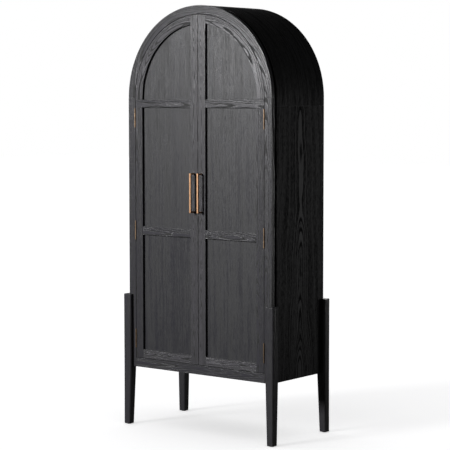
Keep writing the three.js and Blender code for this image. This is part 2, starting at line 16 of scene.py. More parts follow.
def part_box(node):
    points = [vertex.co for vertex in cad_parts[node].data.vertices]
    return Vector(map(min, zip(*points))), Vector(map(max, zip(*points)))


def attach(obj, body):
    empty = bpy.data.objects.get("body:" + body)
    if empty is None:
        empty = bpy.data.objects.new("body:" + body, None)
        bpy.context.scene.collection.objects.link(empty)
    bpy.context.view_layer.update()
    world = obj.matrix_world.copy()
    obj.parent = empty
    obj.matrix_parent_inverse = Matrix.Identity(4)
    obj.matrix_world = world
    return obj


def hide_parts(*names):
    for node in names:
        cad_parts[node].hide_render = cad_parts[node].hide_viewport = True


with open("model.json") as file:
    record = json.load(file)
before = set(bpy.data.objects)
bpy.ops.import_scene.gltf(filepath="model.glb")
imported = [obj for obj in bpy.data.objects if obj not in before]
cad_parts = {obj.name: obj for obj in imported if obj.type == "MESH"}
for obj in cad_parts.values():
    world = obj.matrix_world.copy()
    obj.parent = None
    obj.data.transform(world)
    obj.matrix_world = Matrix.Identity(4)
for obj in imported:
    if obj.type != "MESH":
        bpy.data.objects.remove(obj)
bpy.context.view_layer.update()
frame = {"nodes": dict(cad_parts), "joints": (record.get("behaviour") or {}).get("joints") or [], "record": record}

LOG = logging.getLogger("cabinet")

MM = 0.001
ARC_STEPS = 144  # facets in a half circle
OVERCUT = 2 * MM  # how far a cutter passes the face it opens
SMOOTH_ANGLE = math.radians(40)  # edges sharper than this stay crisp
EASE_ANGLE = math.radians(35)  # edges sharper than this are rounded
FACING = 0.99  # least cosine between a face's normal and the way it is said to face
NEAR = 0.1 * MM  # how close points count as level with each other
MERGE = 0.001 * MM  # how close points count as one


# ------------------------------------------------------------------ choices


class Side(Enum):
    """A side of the cabinet, with the sign of its X."""

    LEFT = -1
    RIGHT = 1

    @property
    def word(self) -> str:
        """The side's name as the frame's nodes spell it."""
        return self.name.lower()


class Grain(Enum):
    """Which way a piece's grain runs."""

    ACROSS = "level, seen from the front"
    LEVEL = "level, seen from above"
    UPRIGHT = "upright, seen from the front"
    UPRIGHT_SIDE = "upright, seen from the side"
    ROUND_ARCH = "round the arch, seen from the front"
    ROUND_SHELL = "round the arch, seen from above"


# ------------------------------------------------------------------ the frame's measures


@dataclass(frozen=True)
class Measures:
    """Radii and heights that several pieces share, read from the frame."""

    spring_z: float
    outer_r: float
    shell_inner_r: float
    opening_r: float
    door_r: float
    door_inner_r: float
    front_y: float

    @classmethod
    def from_frame(cls) -> "Measures":
        """Reads the measures from the boxes of the nodes.

        Returns:
            The measures in metres.
        """
        arch_low, arch_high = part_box("face_arch")
        back_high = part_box("back_panel")[1]
        return cls(
            spring_z=arch_low.z,
            outer_r=arch_high.x,
            shell_inner_r=back_high.x,
            opening_r=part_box("face_stile_right")[0].x,
            door_r=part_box("transom_right")[1].x,
            door_inner_r=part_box("hinge_stile_right")[0].x,
            front_y=arch_low.y,
        )


MEASURES = Measures.from_frame()


# ------------------------------------------------------------------ bench work


def start_fresh() -> None:
    """Leaves edit mode and deselects everything."""
    if bpy.context.object and bpy.context.object.mode != "OBJECT":
        bpy.ops.object.mode_set(mode="OBJECT")
    bpy.ops.object.select_all(action="DESELECT")


def take(piece: bpy.types.Object) -> None:
    """Makes a piece the only one selected, and active.

    Args:
        piece: the object to work on.
    """
    start_fresh()
    piece.select_set(True)
    bpy.context.view_layer.objects.active = piece


def settle(name: str) -> bpy.types.Object:
    """Names the new primitive and moves its place into its mesh.

    Args:
        name: the piece's name.

    Returns:
        The active object.
    """
    piece = bpy.context.object
    piece.name = name
    piece.data.name = name
    bpy.ops.object.transform_apply(location=True, rotation=True, scale=True)
    return piece


def add_block(name: str, low: Vector, high: Vector) -> bpy.types.Object:
    """Adds a squared blank between two corners.

    Args:
        name: the piece's name.
        low: the corner with the least X, Y and Z.
        high: the opposite corner.

    Returns:
        The new object.
    """
    start_fresh()
    bpy.ops.mesh.primitive_cube_add(size=1, location=(Vector(low) + Vector(high)) / 2)
    bpy.context.object.scale = Vector(high) - Vector(low)
    return settle(name)


def add_rod(name: str, radius: float, low: Vector, high: Vector, steps: int) -> bpy.types.Object:
    """Adds a round blank between two points on one of the axes.

    Args:
        name: the piece's name.
        radius: the rod's radius.
        low: the middle of one end.
        high: the middle of the other end.
        steps: facets round the rod.

    Returns:
        The new object.
    """
    start_fresh()
    low, high = Vector(low), Vector(high)
    turn = (high - low).to_track_quat("Z", "Y").to_euler()
    bpy.ops.mesh.primitive_cylinder_add(
        vertices=steps, radius=radius, depth=(high - low).length, location=(low + high) / 2, rotation=turn
    )
    return settle(name)


def select_faces(piece: bpy.types.Object, wanted: Callable[[bmesh.types.BMFace], bool]) -> None:
    """In edit mode, selects the faces that pass a test, and no others.

    Args:
        piece: the object being edited.
        wanted: says whether a face is wanted.
    """
    bpy.ops.mesh.select_mode(type="FACE")
    bpy.ops.mesh.select_all(action="DESELECT")
    mesh = bmesh.from_edit_mesh(piece.data)
    for face in mesh.faces:
        face.select_set(wanted(face))
    bmesh.update_edit_mesh(piece.data)


def select_edges(piece: bpy.types.Object, wanted: Callable[[bmesh.types.BMEdge], bool]) -> None:
    """In edit mode, selects the edges that pass a test, and no others.

    Args:
        piece: the object being edited.
        wanted: says whether an edge is wanted.
    """
    bpy.ops.mesh.select_mode(type="EDGE")
    bpy.ops.mesh.select_all(action="DESELECT")
    mesh = bmesh.from_edit_mesh(piece.data)
    for edge in mesh.edges:
        edge.select_set(wanted(edge))
    bmesh.update_edit_mesh(piece.data)


def extrude_down(piece: bpy.types.Object, drop: float) -> None:
    """Lengthens a piece downwards by its lowest flat faces.

    Args:
        piece: the object to lengthen.
        drop: how far to lengthen it.
    """
    take(piece)
    foot = min(vertex.co.z for vertex in piece.data.vertices) + NEAR
    bpy.ops.object.mode_set(mode="EDIT")
    select_faces(piece, lambda face: face.normal.z < -FACING and face.calc_center_median().z < foot)
    bpy.ops.mesh.extrude_region_move(TRANSFORM_OT_translate={"value": (0, 0, -drop)})
    bpy.ops.object.mode_set(mode="OBJECT")


def slice_off(piece: bpy.types.Object, point: Vector, outward: Vector) -> None:
    """Saws a piece through a plane and drops what lies outward of it.

    Args:
        piece: the object to saw.
        point: a point on the plane.
        outward: the plane's normal, towards the waste.
    """
    take(piece)
    bpy.ops.object.mode_set(mode="EDIT")
    bpy.ops.mesh.select_all(action="SELECT")
    bpy.ops.mesh.bisect(plane_co=point, plane_no=outward, use_fill=True, clear_outer=True)
    bpy.ops.object.mode_set(mode="OBJECT")


def add_arch_ring(
    name: str, outer: float, inner: float, y0: float, y1: float, skirt: float
) -> bpy.types.Object:
    """Adds a half ring that stands on the springing line, with straight ends below it.

    Args:
        name: the piece's name.
        outer: outer radius.
        inner: inner radius.
        y0: front face.
        y1: back face.
        skirt: length of the straight ends, or 0.

    Returns:
        The new object.
    """
    start_fresh()
    spring = MEASURES.spring_z
    bpy.ops.mesh.primitive_plane_add(size=1, location=((outer + inner) / 2, (y0 + y1) / 2, spring))
    bpy.context.object.scale = (outer - inner, y1 - y0, 1)
    ring = settle(name)
    bpy.ops.object.mode_set(mode="EDIT")
    bpy.ops.mesh.select_all(action="SELECT")
    bpy.ops.mesh.spin(steps=ARC_STEPS, angle=math.pi, center=(0, 0, spring), axis=(0, 1, 0))
    bpy.ops.object.mode_set(mode="OBJECT")
    if skirt > 0:
        extrude_down(ring, skirt)
    return ring


def add_arch_board(name: str, radius: float, foot: float, y0: float, y1: float) -> bpy.types.Object:
    """Adds a board with a half-round top and straight sides.

    Args:
        name: the piece's name.
        radius: the top's radius.
        foot: height of the straight lower edge.
        y0: front face.
        y1: back face.

    Returns:
        The new object.
    """
    spring = MEASURES.spring_z
    board = add_rod(name, radius, Vector((0, y1, spring)), Vector((0, y0, spring)), 2 * ARC_STEPS)
    slice_off(board, Vector((0, 0, spring)), Vector((0, 0, -1)))
    extrude_down(board, spring - foot)
    return board


def combine(piece: bpy.types.Object, tool: bpy.types.Object, operation: str) -> None:
    """Cuts a piece by a tool's shape or joins the two, and throws the tool away.

    Args:
        piece: the object to change.
        tool: the other shape.
        operation: "DIFFERENCE" to cut, "UNION" to join.
    """
    take(piece)
    step = piece.modifiers.new("combine", "BOOLEAN")
    step.operation = operation
    step.solver = "EXACT"
    step.object = tool
    bpy.ops.object.modifier_apply(modifier=step.name)
    bpy.data.objects.remove(tool)


def cut_with(piece: bpy.types.Object, cutter: bpy.types.Object) -> None:
    """Takes a cutter's shape out of a piece."""
    combine(piece, cutter, "DIFFERENCE")


def add_to(piece: bpy.types.Object, extra: bpy.types.Object) -> None:
    """Joins an extra shape into a piece."""
    combine(piece, extra, "UNION")


def ease_edges(piece: bpy.types.Object, width: float, segments: int = 2) -> None:
    """Rounds a piece's sharp edges and smooths its curves, keeping the edges' faces in the second slot, for the
    lighter edge oak that paints worn edges and a highlight.

    Args:
        piece: the object to ease.
        width: how far the rounding reaches.
        segments: facets across each rounding.
    """
    take(piece)
    while len(piece.data.materials) < 2:
        piece.data.materials.append(None)
    ease = piece.modifiers.new("ease", "BEVEL")
    ease.width = width
    ease.segments = segments
    ease.limit_method = "ANGLE"
    ease.angle_limit = EASE_ANGLE
    # the rounded faces take the lighter edge oak: partly wear, partly a painted highlight
    ease.material = 1
    bpy.ops.object.modifier_apply(modifier=ease.name)
    smooth_by_angle(piece)


def smooth_by_angle(piece: bpy.types.Object) -> None:
    """Smooths a piece's curves and keeps its corners crisp.

    Args:
        piece: the object to smooth.
    """
    take(piece)
    bpy.ops.object.shade_smooth_by_angle(angle=SMOOTH_ANGLE)


def flatten_shading(piece: bpy.types.Object) -> None:
    """Keeps a piece's broad faces flat to the light beside their rounded edges.

    Args:
        piece: the object to treat.
    """
    take(piece)
    weigh = piece.modifiers.new("weigh", "WEIGHTED_NORMAL")
    weigh.keep_sharp = True
    weigh.weight = 100
    bpy.ops.object.modifier_apply(modifier=weigh.name)


def true_up(piece: bpy.types.Object) -> None:
    """Merges a piece's doubled points and turns its faces outwards.

    Args:
        piece: the object to true up.
    """
    take(piece)
    bpy.ops.object.mode_set(mode="EDIT")
    bpy.ops.mesh.select_all(action="SELECT")
    bpy.ops.mesh.remove_doubles(threshold=MERGE)
    bpy.ops.mesh.normals_make_consistent(inside=False)
    bpy.ops.object.mode_set(mode="OBJECT")


def copy_of(piece: bpy.types.Object, name: str) -> bpy.types.Object:
    """Copies a piece with a mesh of its own.

    Args:
        piece: the object to copy.
        name: the copy's name.

    Returns:
        The copy.
    """
    take(piece)
    bpy.ops.object.duplicate(linked=False)
    copy = bpy.context.object
    copy.name = name
    copy.data.name = name
    return copy


def mirror_copy(piece: bpy.types.Object, name: str) -> bpy.types.Object:
    """Copies a piece to the cabinet's other side, with its faces still outwards.

    Args:
        piece: the object to copy.
        name: the copy's name.

    Returns:
        The copy.
    """
    copy = copy_of(piece, name)
    bpy.ops.object.mode_set(mode="EDIT")
    bpy.ops.mesh.select_all(action="SELECT")
    bpy.ops.transform.resize(value=(-1, 1, 1), center_override=(0, 0, 0))
    bpy.ops.object.mode_set(mode="OBJECT")
    true_up(copy)
    return copy


def shift(piece: bpy.types.Object, way: Vector) -> None:
    """Moves a piece in its mesh.

    Args:
        piece: the object to move.
        way: how far to move it.
    """
    take(piece)
    bpy.ops.object.mode_set(mode="EDIT")
    bpy.ops.mesh.select_all(action="SELECT")
    bpy.ops.transform.translate(value=way)
    bpy.ops.object.mode_set(mode="OBJECT")


# ------------------------------------------------------------------ finishes


class Sketch:
    """A material's node tree, built one node at a time."""

    def __init__(self, name: str) -> None:
        """Starts an empty material.

        Args:
            name: the material's name.
        """
        self.material = bpy.data.materials.new(name)
        self.material.use_nodes = True
        self.tree = self.material.node_tree
        self.shader = self.tree.nodes["Principled BSDF"]

    def node(self, kind: str, inputs: dict | None = None, **settings) -> bpy.types.Node:
        """Adds a node.

        Args:
            kind: the node's type.
            inputs: socket names or numbers, with a value or another node's output.
            settings: the node's own properties.

        Returns:
            The new node.
        """
        made = self.tree.nodes.new(kind)
        for key, value in settings.items():
            setattr(made, key, value)
        for key, value in (inputs or {}).items():
            self.feed(made.inputs[key], value)
        return made

    def feed(self, socket: bpy.types.NodeSocket, value: object) -> None:
        """Links an output to a socket, or sets the socket's value."""
        if isinstance(value, bpy.types.NodeSocket):
            self.tree.links.new(value, socket)
        else:
            socket.default_value = value

    def math(self, operation: str, *values: object, clamp: bool = False) -> bpy.types.NodeSocket:
        """Adds a Math node and returns its output."""
        inputs = dict(enumerate(values))
        return self.node("ShaderNodeMath", inputs, operation=operation, use_clamp=clamp).outputs[0]

    def stretch(self, vector: bpy.types.NodeSocket, scale: Sequence[float]) -> bpy.types.NodeSocket:
        """Scales a vector and returns the output."""
        made = self.node("ShaderNodeVectorMath", {0: vector, 1: scale}, operation="MULTIPLY")
        return made.outputs[0]

    def noise(
        self, vector: bpy.types.NodeSocket, scale: float, detail: float, roughness: float = 0.5
    ) -> bpy.types.NodeSocket:
        """Adds a Noise Texture and returns its factor."""
        inputs = {"Vector": vector, "Scale": scale, "Detail": detail, "Roughness": roughness}
        return self.node("ShaderNodeTexNoise", inputs).outputs["Fac"]

    def ramp(
        self, value: bpy.types.NodeSocket, low: float, high: float, to_low: float, to_high: float
    ) -> bpy.types.NodeSocket:
        """Maps a range of a value smoothly on to another and returns the output."""
        inputs = {"Value": value, "From Min": low, "From Max": high, "To Min": to_low, "To Max": to_high}
        made = self.node("ShaderNodeMapRange", inputs, interpolation_type="SMOOTHSTEP")
        return made.outputs["Result"]

    def tint(
        self, factor: bpy.types.NodeSocket, first: Sequence[float], second: Sequence[float]
    ) -> bpy.types.NodeSocket:
        """Mixes two colours by a factor and returns the output."""
        made = self.node("ShaderNodeMix", data_type="RGBA")
        self.feed(made.inputs[0], factor)
        self.feed(made.inputs[6], (*first, 1))
        self.feed(made.inputs[7], (*second, 1))
        return made.outputs[2]


@dataclass(frozen=True)
class OakFinish:
    """Open-grained oak, stained black and lacquered matt."""

    name: str
    dark: Sequence[float] = (0.0010, 0.0010, 0.0014)
    light: Sequence[float] = (0.024, 0.023, 0.028)
    roughness: float = 0.37
    figure: float = 1.0  # strength of the growth rings
    relief: float = 1.0  # strength of the pores' and rings' relief
    gloss: float = 0.5  # the lacquer's specular level
    fleck: float = 1.0  # strength of the short brushed flecks
    ring: float = 7.5 * MM  # spacing of the growth rings
    drift: float = 55 * MM  # how far the rings wander along the board
    ring_tone: float = 0.40  # what the rings, streaks, flecks and broad bands each add to the tone
    streak_tone: float = 0.45
    fleck_tone: float = 0.75
    broad_tone: float = 0.40
    below: float = 0.17  # how far below and above its middle the tone is fully dark or light
    above: float = 0.19
    pore_dark: float = 0.55  # how much a pore darkens
    dull: float = 0.27  # roughness added where dark, and taken off where light
    shine: float = 0.08
    bump: float = 0.7
    bump_depth: float = 0.8 * MM

    def make(self) -> bpy.types.Material:
        """Builds the finish from the piece's own grain and board attributes.

        Returns:
            The material.
        """
        sketch = Sketch(self.name)
        grain = sketch.node("ShaderNodeAttribute", attribute_name="grain").outputs["Vector"]
        board = sketch.node("ShaderNodeAttribute", attribute_name="board").outputs["Vector"]
        parts = sketch.node("ShaderNodeSeparateXYZ", {0: board}).outputs
        seed, taper = parts[0], parts[1]
        rings = self._rings(sketch, grain, seed, taper)
        shifted = self._shifted(sketch, grain, seed)
        streaks = sketch.noise(sketch.stretch(shifted, (9, 230, 230)), 1.0, 3, 0.6)
        coarse = sketch.noise(sketch.stretch(shifted, (34, 190, 190)), 1.0, 2, 0.6)
        fine = sketch.noise(sketch.stretch(shifted, (70, 640, 640)), 1.0, 2, 0.6)
        flecks = sketch.math("MULTIPLY_ADD", fine, 0.5, sketch.math("MULTIPLY", coarse, 0.5))
        broad = sketch.noise(sketch.stretch(shifted, (2.2, 26, 26)), 1.0, 3, 0.55)
        pores = self._pores(sketch, shifted, rings)
        tone = sketch.math("MULTIPLY", rings, self.ring_tone * self.figure)
        tone = sketch.math("MULTIPLY_ADD", streaks, self.streak_tone, tone)
        tone = sketch.math("MULTIPLY_ADD", flecks, self.fleck_tone * self.fleck, tone)
        tone = sketch.math("MULTIPLY_ADD", broad, self.broad_tone, tone)
        most = self.ring_tone * self.figure + self.fleck_tone * self.fleck
        level = (most + self.streak_tone + self.broad_tone) / 2  # the tone's middle
        tone = sketch.ramp(tone, level - self.below, level + self.above, 0, 1)
        tone = sketch.math("MULTIPLY", tone, sketch.math("MULTIPLY_ADD", pores, -self.pore_dark, 1.0))
        tone = sketch.math("MULTIPLY", tone, sketch.ramp(seed, 0, 1, 0.85, 1.15))
        sketch.feed(sketch.shader.inputs["Base Color"], sketch.tint(tone, self.dark, self.light))
        shine = sketch.ramp(tone, 0, 1, self.roughness + self.dull, self.roughness - self.shine)
        sketch.feed(sketch.shader.inputs["Roughness"], sketch.math("MULTIPLY_ADD", pores, 0.2, shine))
        height = sketch.math("MULTIPLY_ADD", pores, -1.0, sketch.math("MULTIPLY", rings, 0.35))
        height = sketch.math("MULTIPLY_ADD", streaks, 0.5, height)
        height = sketch.math("MULTIPLY_ADD", flecks, 0.9 * self.fleck, height)
        bump = {"Height": height, "Strength": self.bump * self.relief, "Distance": self.bump_depth}
        sketch.feed(sketch.shader.inputs["Normal"], sketch.node("ShaderNodeBump", bump).outputs[0])
        sketch.shader.inputs["Specular IOR Level"].default_value = self.gloss
        return sketch.material

    def _shifted(
        self, sketch: Sketch, grain: bpy.types.NodeSocket, seed: bpy.types.NodeSocket
    ) -> bpy.types.NodeSocket:
        """Moves the pattern to a place of the board's own."""
        away = sketch.node("ShaderNodeCombineXYZ", {0: seed, 1: seed, 2: seed}).outputs[0]
        away = sketch.stretch(away, (7.3, 3.1, 5.7))
        return sketch.node("ShaderNodeVectorMath", {0: grain, 1: away}, operation="ADD").outputs[0]

    def _rings(
        self,
        sketch: Sketch,
        grain: bpy.types.NodeSocket,
        seed: bpy.types.NodeSocket,
        taper: bpy.types.NodeSocket,
    ) -> bpy.types.NodeSocket:
        """Growth rings round a pith behind the board, so that a flat-sawn face shows arches.

        Args:
            sketch: the tree to add to.
            grain: along, across and through the board, in metres.
            seed: the board's own number, 0 to 1.
            taper: how fast the rings close up along the board.

        Returns:
            The ring pattern, 0 to 1.
        """
        along, across, through = sketch.node("ShaderNodeSeparateXYZ", {0: grain}).outputs
        shifted = self._shifted(sketch, grain, seed)
        sway = sketch.noise(sketch.stretch(shifted, (1.9, 6, 6)), 1.0, 2)
        waver = sketch.noise(sketch.stretch(shifted, (14, 45, 45)), 1.0, 2)
        across = sketch.math("MULTIPLY_ADD", sketch.math("SUBTRACT", sway, 0.5), 0.045, across)
        squared = sketch.math("MULTIPLY", across, across)
        radius = sketch.math("SQRT", sketch.math("MULTIPLY_ADD", through, through, squared))
        radius = sketch.math("MULTIPLY_ADD", along, taper, radius)
        radius = sketch.math("MULTIPLY_ADD", waver, 4.0 * MM, radius)
        wander = sketch.noise(sketch.stretch(shifted, (2.6, 4, 4)), 1.0, 1)
        radius = sketch.math("MULTIPLY_ADD", wander, self.drift, radius)
        turns = sketch.math("DIVIDE", radius, self.ring)
        phase = sketch.math("FRACT", turns)
        year = sketch.math("FLOOR", turns)
        year = sketch.node("ShaderNodeTexWhiteNoise", {"W": year}, noise_dimensions="1D").outputs["Value"]
        rise = sketch.ramp(phase, 0.10, 0.50, 0, 1)
        fall = sketch.ramp(phase, 0.90, 1.0, 1, 0)
        wave = sketch.math("MULTIPLY", rise, fall)
        return sketch.math("MULTIPLY", wave, sketch.math("MULTIPLY_ADD", year, 0.6, 0.55))

    def _pores(
        self, sketch: Sketch, shifted: bpy.types.NodeSocket, rings: bpy.types.NodeSocket
    ) -> bpy.types.NodeSocket:
        """Short open pores, thickest in each ring's early wood."""
        fine = sketch.noise(sketch.stretch(shifted, (60, 1500, 1500)), 1.0, 1)
        bold = sketch.noise(sketch.stretch(shifted, (26, 620, 620)), 1.0, 1)
        fine = sketch.ramp(fine, 0.56, 0.66, 0, 1)
        bold = sketch.ramp(bold, 0.58, 0.68, 0, 1)
        early = sketch.math("SUBTRACT", 1.0, rings, clamp=True)
        return sketch.math("MULTIPLY", sketch.math("MAXIMUM", fine, bold), early, clamp=True)


@dataclass(frozen=True)
class MetalFinish:
    """A satin metal with fine draw lines and a slightly worn tone."""

    name: str
    colour: Sequence[float]
    worn: Sequence[float]
    roughness: float
    draw: Sequence[float] = (900, 900, 30)  # density of the draw lines on each axis

    def make(self) -> bpy.types.Material:
        """Builds the finish on Object coordinates.

        Returns:
            The material.
        """
        sketch = Sketch(self.name)
        place = sketch.node("ShaderNodeTexCoord").outputs["Object"]
        cloud = sketch.noise(place, 45.0, 3)
        lines = sketch.noise(sketch.stretch(place, self.draw), 1.0, 2)
        tone = sketch.ramp(cloud, 0.35, 0.7, 0, 1)
        sketch.feed(sketch.shader.inputs["Base Color"], sketch.tint(tone, self.colour, self.worn))
        shine = sketch.math("MULTIPLY_ADD", lines, 0.14, self.roughness - 0.07)
        sketch.feed(sketch.shader.inputs["Roughness"], shine)
        bump = {"Height": lines, "Strength": 0.12, "Distance": 0.1 * MM}
        sketch.feed(sketch.shader.inputs["Normal"], sketch.node("ShaderNodeBump", bump).outputs[0])
        sketch.shader.inputs["Metallic"].default_value = 1.0
        return sketch.material


@dataclass(frozen=True)
class FloorFinish:
    """A pale matt painted floor."""

    name: str
    colour: Sequence[float] = (0.86, 0.86, 0.87)
    patch: Sequence[float] = (0.84, 0.84, 0.85)
    glow: float = 0.52
    roughness: float = 0.75

    def make(self) -> bpy.types.Material:
        """Builds the finish on Object coordinates.

        Returns:
            The material.
        """
        sketch = Sketch(self.name)
        place = sketch.node("ShaderNodeTexCoord").outputs["Object"]
        cloud = sketch.noise(place, 1.5, 3)
        sketch.feed(sketch.shader.inputs["Base Color"], sketch.tint(cloud, self.colour, self.patch))
        sketch.shader.inputs["Roughness"].default_value = self.roughness
        sketch.shader.inputs["Emission Color"].default_value = (1, 1, 1, 1)
        sketch.shader.inputs["Emission Strength"].default_value = self.glow
        return sketch.material


@dataclass(frozen=True)
class PlasticFinish:
    """A moulded plastic with a fine spark-eroded skin."""

    name: str
    colour: Sequence[float]
    roughness: float

    def make(self) -> bpy.types.Material:
        """Builds the finish on Object coordinates.

        Returns:
            The material.
        """
        sketch = Sketch(self.name)
        place = sketch.node("ShaderNodeTexCoord").outputs["Object"]
        skin = sketch.noise(place, 1400.0, 2)
        scuff = sketch.noise(place, 60.0, 3)
        paler = [1.6 * part for part in self.colour]
        tone = sketch.ramp(scuff, 0.4, 0.75, 0, 1)
        sketch.feed(sketch.shader.inputs["Base Color"], sketch.tint(tone, self.colour, paler))
        sketch.feed(
            sketch.shader.inputs["Roughness"],
            sketch.math("MULTIPLY_ADD", scuff, 0.2, self.roughness - 0.1),
        )
        bump = {"Height": skin, "Strength": 0.3, "Distance": 0.05 * MM}
        sketch.feed(sketch.shader.inputs["Normal"], sketch.node("ShaderNodeBump", bump).outputs[0])
        return sketch.material


class Finishes:
    """Every finish on the cabinet, made once."""

    def __init__(self) -> None:
        """Makes the materials."""
        self.oak = OakFinish("black_oak").make()
        # Lighter oak for the eased edges: partly rubbed wear, partly a painted highlight where light catches the
        # rounded arrises and the legs' tops.
        self.oak_edge = OakFinish(
            "black_oak_edge",
            dark=(0.006, 0.006, 0.007),
            light=(0.065, 0.064, 0.067),
            roughness=0.38,
            relief=0.5,
        ).make()
        self.figured = OakFinish(
            "black_oak_figured",
            light=(0.048, 0.046, 0.052),
            figure=1.7,
            relief=1.2,
            fleck=0.9,
            ring=6.0 * MM,
        ).make()
        self.side = OakFinish(
            "black_oak_side",
            light=(0.034, 0.033, 0.035),
            ring=8.0 * MM,
            fleck=1.8,
            roughness=0.55,
            gloss=0.28,
        ).make()
        self.shell = OakFinish(
            "black_oak_shell",
            light=(0.018, 0.0175, 0.019),
            figure=0.5,
            relief=0.7,
            roughness=0.55,
            gloss=0.25,
        ).make()
        self.panel = OakFinish(
            "black_oak_veneer",
            light=(0.015, 0.0145, 0.019),
            figure=0.4,
            fleck=0.6,
            relief=0.45,
            ring=5.0 * MM,
            drift=8 * MM,
        ).make()
        self.inside = OakFinish(
            "black_oak_inside", light=(0.022, 0.022, 0.023), figure=0.6, relief=0.6, roughness=0.56
        ).make()
        self.brass = MetalFinish("satin_brass", (0.46, 0.27, 0.155), (0.38, 0.215, 0.12), 0.40).make()
        self.hinge = MetalFinish("antique_brass", (0.20, 0.135, 0.085), (0.12, 0.085, 0.06), 0.42).make()
        self.steel = MetalFinish("zinc_steel", (0.52, 0.52, 0.54), (0.40, 0.40, 0.42), 0.38).make()
        self.plastic = PlasticFinish("black_plastic", (0.012, 0.012, 0.013), 0.5).make()


# ------------------------------------------------------------------ dressing a piece


@dataclass
class Board:
    """How a wooden piece was sawn, which sets its figure."""

    grain: Grain
    aside: float = 0.0  # how far the pith lies to one side of the board's middle
    pith: float = 0.035  # how far it lies behind the board's middle
    taper: float = 0.03  # how fast the rings close up along the board


class Dresser:
    """Gives finished pieces their grain, their finish, their body and the node they stand for."""

    def __init__(self, finishes: Finishes) -> None:
        """Keeps the finishes, and starts the count of boards.

        Args:
            finishes: the cabinet's materials.
        """
        self.finishes = finishes
        self.boards = 0

    def wood(
        self,
        piece: bpy.types.Object,
        node: str,
        board: Board,
        material: bpy.types.Material | None = None,
        slot: str = "oak",
    ) -> None:
        """Dresses a wooden piece.

        Args:
            piece: the finished shape.
            node: the node that it stands for.
            board: how it was sawn.
            material: its finish, or the frame oak if left out.
            slot: the record's material slot; not used.
        """
        piece.data.materials[0] = material or self.finishes.oak
        # the eased edges take the lighter oak: worn edges and a painted highlight
        piece.data.materials[1] = self.finishes.oak_edge
        self._lay_grain(piece, board)
        self._hand_over(piece, node)

    def metal(self, piece: bpy.types.Object, node: str, material: bpy.types.Material, slot: str) -> None:
        """Dresses a metal or plastic piece.

        Args:
            piece: the finished shape.
            node: the node that it stands for.
            material: its finish.
            slot: the record's material slot; not used.
        """
        piece.data.materials.clear()
        piece.data.materials.append(material)
        for face in piece.data.polygons:
            face.material_index = 0
        self._hand_over(piece, node)

    def _hand_over(self, piece: bpy.types.Object, node: str) -> None:
        """Rides a piece on its node's body, in the node's stead."""
        flatten_shading(piece)
        body = next(b for b, nodes in frame["record"]["behaviour"]["bodies"].items() if node in nodes)
        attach(piece, body)
        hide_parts(node)
        LOG.info("made %s for %s on %s", piece.name, node, body)

    def _lay_grain(self, piece: bpy.types.Object, board: Board) -> None:
        """Writes where each point lies along, across and through its board, and the board's own numbers."""
        mesh = piece.data
        points = np.empty(3 * len(mesh.vertices), np.float32)
        mesh.vertices.foreach_get("co", points)
        points = points.reshape(-1, 3)
        middle = (points.min(0) + points.max(0)) / 2
        x, y, z = points.T
        if board.grain is Grain.ACROSS:
            laid = (x, z - middle[2], y - middle[1])
        elif board.grain is Grain.LEVEL:
            laid = (x, y - middle[1], z - middle[2])
        elif board.grain is Grain.UPRIGHT:
            laid = (z, x - middle[0], y - middle[1])
        elif board.grain is Grain.UPRIGHT_SIDE:
            laid = (z, y - middle[1], x - middle[0])
        else:
            laid = self._round_arch(points, board.grain, middle)
        self.boards += 1
        seed = (self.boards * 0.618034) % 1.0
        placed = (laid[0], laid[1] + board.aside, laid[2] + board.pith)
        self._write(mesh, "grain", np.stack(placed, 1))
        self._write(mesh, "board", np.tile((seed, board.taper, 0), (len(points), 1)))

    @staticmethod
    def _round_arch(points: np.ndarray, grain: Grain, middle: np.ndarray) -> tuple[np.ndarray, ...]:
        """The grain of a bent piece: along is measured round the arch, and down its straight ends."""
        x, y, z = points.T
        rise = z - MEASURES.spring_z
        radius = np.where(rise > 0, np.hypot(x, rise), np.abs(x))
        turn = np.arctan2(np.maximum(rise, 0), x)
        drop = np.minimum(rise, 0) * np.where(x > 0, 1, -1)
        along = turn * MEASURES.door_r + drop
        middle_radius = (radius.min() + radius.max()) / 2
        if grain is Grain.ROUND_ARCH:
            return along, radius - middle_radius, y - middle[1]
        return along, y - middle[1], radius - middle_radius

    @staticmethod
    def _write(mesh: bpy.types.Mesh, name: str, values: np.ndarray) -> None:
        """Writes a vector for each point of a mesh."""
        layer = mesh.attributes.new(name, "FLOAT_VECTOR", "POINT")
        layer.data.foreach_set("vector", values.astype(np.float32).ravel())


# ------------------------------------------------------------------ hinges' places


